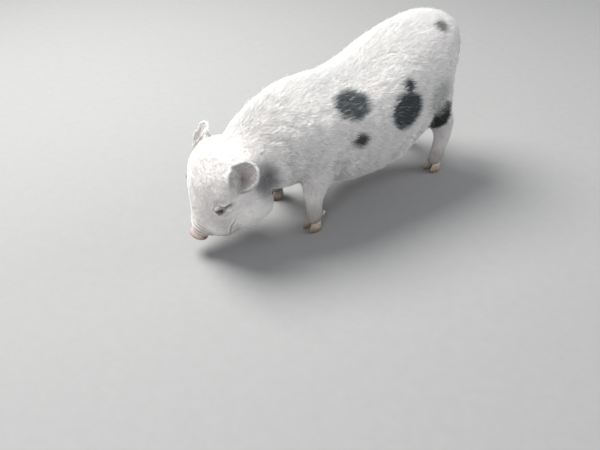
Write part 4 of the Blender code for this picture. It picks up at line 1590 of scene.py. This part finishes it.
for foot in FEET:
    low, high = corners_of("leg_" + foot)
    middle = (low + high) / 2
    near = (region == "leg") & (roots[:, 0] * middle.x > 0) & ((roots[:, 1] < 0.1) == ("front" in foot))
    x, y = LEG_LINES[foot.split("_")[0]]
    x = math.copysign(x, middle.x)
    pieces.append(("coat_leg_" + foot, near, ((x, y, 0.2), (x, y, 0.0)), (0, 1, 0)))
pieces.append(("coat_tail", region == "tail", TAIL_LINE, (0, 1, 0)))
total = 0
for name, inside, line, up in pieces:
    made = tuft_mesh(name, {key: values[inside] for key, values in coat.items()}, line, up)
    total += made
    print(f"{name}: {made} triangles")
print("coat in all:", total, "triangles")

# %% [markdown]
# ## Lashes and whiskers
#
# Long pale lashes hang over the eye, and single stiff whiskers stand round the nose and chin. They
# are the same spike, drawn out thin, each rooted on the lid or the skin. A ray from the side finds
# the skin for each whisker.

# %% Single hairs
LASHES, LASH_SPAN, LASH_STRAYS = 13, (-0.0050, 0.0065), 0.0003
# how far from the middle of the ball the edge of the lid lies, and how far up it is turned
LID_OUT, LASH_TURN = 0.0118, math.radians(11)
LASH_FORM = {"length": 0.0058, "width": 0.00018, "lift": 1.1}
# share of the head's length, rise and number of the whiskers in each row
WHISKER_ROWS = (
    (0.90, 0.010, 5),
    (0.86, -0.004, 5),
    (0.82, -0.014, 4),
    (0.80, -0.042, 6),
    (0.68, -0.052, 4),
)
WHISKER_FORM = {"length": 0.017, "width": 0.00030, "lift": 0.75}


def hair_rows(places, normals, ways, draw, length, width, lift):
    """Single hairs in the form that the coat's tufts have."""
    count = len(places)
    ways = unit(ways - normals * (ways * normals).sum(axis=1)[:, None])
    length = length * draw.uniform(0.75, 1.15, count)
    lift = lift * draw.uniform(0.8, 1.2, count)
    row = {"root": places, "normal": normals, "across": np.cross(normals, ways), "length": length}
    row |= {"width": np.full(count, width), "lift": lift, "curl": draw.normal(0, 0.12, count)}
    row |= {"tone": np.full(count, 0.75), "grime": np.zeros(count), "dusk": np.zeros(count)}
    row["tip"] = places + unit(ways + normals * lift[:, None]) * length[:, None]
    return row


def lashes(side, draw):
    """A row of lashes on the edge of the upper lid, leaning out and back over the eye."""
    out, slit, over = (np.array(way) for way in EYE_WAYS[side])
    along = np.linspace(*LASH_SPAN, LASHES) + draw.normal(0, LASH_STRAYS, LASHES)
    up = out * math.cos(LASH_TURN) + over * math.sin(LASH_TURN)
    places = np.array(EYES[side]) + np.outer(along, slit) + np.outer(np.sqrt(LID_OUT**2 - along**2), up)
    normals = unit(places - np.array(EYES[side]))
    ways = over * 0.1 + np.outer(along / 0.010 + 0.5, slit) * 0.8
    return hair_rows(places, normals, ways, draw, **LASH_FORM)


def whiskers(side, draw):
    """Whiskers round the nose, chin and cheek on one side."""
    tree = tree_of(skin.data)
    spots = []
    for share, rise, count in WHISKER_ROWS:
        spots += [(share + draw.normal(0, 0.012), rise + draw.normal(0, 0.004)) for _ in range(count)]
    found = [tree.ray_cast(on_head(share, side * 0.2, rise), -SIDE * side) for share, rise in spots]
    places = np.array([hit[0] for hit in found])
    normals = np.array([hit[1] for hit in found])
    ways = -np.array(ALONG) * 0.8 - np.array(BROW) * 0.4 + draw.normal(0, 0.2, places.shape)
    return hair_rows(places, normals, ways, draw, **WHISKER_FORM)


rows = [hairs(side, draw) for side in (1, -1) for hairs in (lashes, whiskers)]
single = {key: np.concatenate([row[key] for row in rows]) for key in rows[0]}
print("lashes and whiskers:", tuft_mesh("lashes_whiskers", single, HEAD_LINE, -BROW), "triangles")

# %% [markdown]
# ## Floor, light and camera
#
# The animal is looked down on, as it was photographed, standing on a plain pale floor. A wide soft
# light hangs high over its far side, as the open sky did, and two weaker ones fill its near side
# from the front and from behind. The camera stands where the photo was taken from.

# %% Stage
AIM = Vector((0, 0, 0.2))
# name, place, size in metres, watts and colour of each lamp
LAMPS = (
    ("sky", (-1.4, -0.55, 2.6), 1.8, 186, (1.0, 1.0, 0.985)),
    ("front", (1.6, -2.2, 1.9), 2.0, 36, (0.93, 0.95, 1.0)),
    ("rear", (1.4, 2.4, 1.6), 2.0, 40, (0.95, 0.96, 1.0)),
)
AIR_COLOUR, AIR_STRENGTH = (0.80, 0.82, 0.87, 1), 0.41


def floor():
    bm = bmesh.new()
    bmesh.ops.create_grid(bm, x_segments=2, y_segments=2, size=6.0)
    piece = shaped("floor", bm)
    shader = Shader("pale_floor", Roughness=0.9)
    speck = shader.noise(shader.place(), 40.0, 4.0, 0.6)
    colour = shader.mix(speck, (0.255, 0.254, 0.250), (0.285, 0.284, 0.280))
    piece.data.materials.append(shader.finish(colour))
    piece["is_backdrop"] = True


def soft_light(name, place, size, power, colour):
    data = bpy.data.lights.new(name, "AREA")
    data.shape = "DISK"
    data.size = size
    data.energy = power
    data.color = colour
    lamp = bpy.data.objects.new(name, data)
    bpy.context.scene.collection.objects.link(lamp)
    lamp.location = place
    lamp.rotation_euler = (AIM - Vector(place)).to_track_quat("-Z", "Y").to_euler()


floor()
for lamp in LAMPS:
    soft_light(*lamp)
world = bpy.data.worlds.new("plain")
world.use_nodes = True
air = world.node_tree.nodes["Background"]
air.inputs["Color"].default_value = AIR_COLOUR
air.inputs["Strength"].default_value = AIR_STRENGTH
bpy.context.scene.world = world
bpy.context.scene.view_settings.view_transform = "Standard"
print("lamps:", len(LAMPS), "of", sum(lamp[3] for lamp in LAMPS), "W in all")

# %% Camera
CAMERA_PLACE = (0.926, -0.7967, 0.95)
# degrees round from the front and down
AZIMUTH, PITCH = 53.1, 41.0
# the focal length in widths of the picture, and the sensor's width in millimetres
FOCAL, SENSOR = 580.0 / 600, 36.0
camera_data = bpy.data.cameras.new("camera")
camera_data.sensor_width = SENSOR
camera_data.lens = SENSOR * FOCAL
camera = bpy.data.objects.new("camera", camera_data)
bpy.context.scene.collection.objects.link(camera)
camera.location = CAMERA_PLACE
turn, tilt = math.radians(AZIMUTH), math.radians(PITCH)
forward = Vector((-math.sin(turn) * math.cos(tilt), math.cos(turn) * math.cos(tilt), -math.sin(tilt)))
camera.rotation_euler = forward.to_track_quat("-Z", "Y").to_euler()
bpy.context.scene.camera = camera
print("camera", round(camera.location.z, 2), "m up, lens", round(camera_data.lens, 1), "mm")

# %% [markdown]
# ## Sizes
#
# Whatever grows on the solids has to stay by them, so the box round the solids and the box round
# everything that is dressed are both printed.

# %% Last measurements
size = {"cad": [list(corner) for corner in cad_box], "visual": [list(corner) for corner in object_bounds()]}
for name, box in size.items():
    print(name, [[round(v, 4) for v in corner] for corner in box])
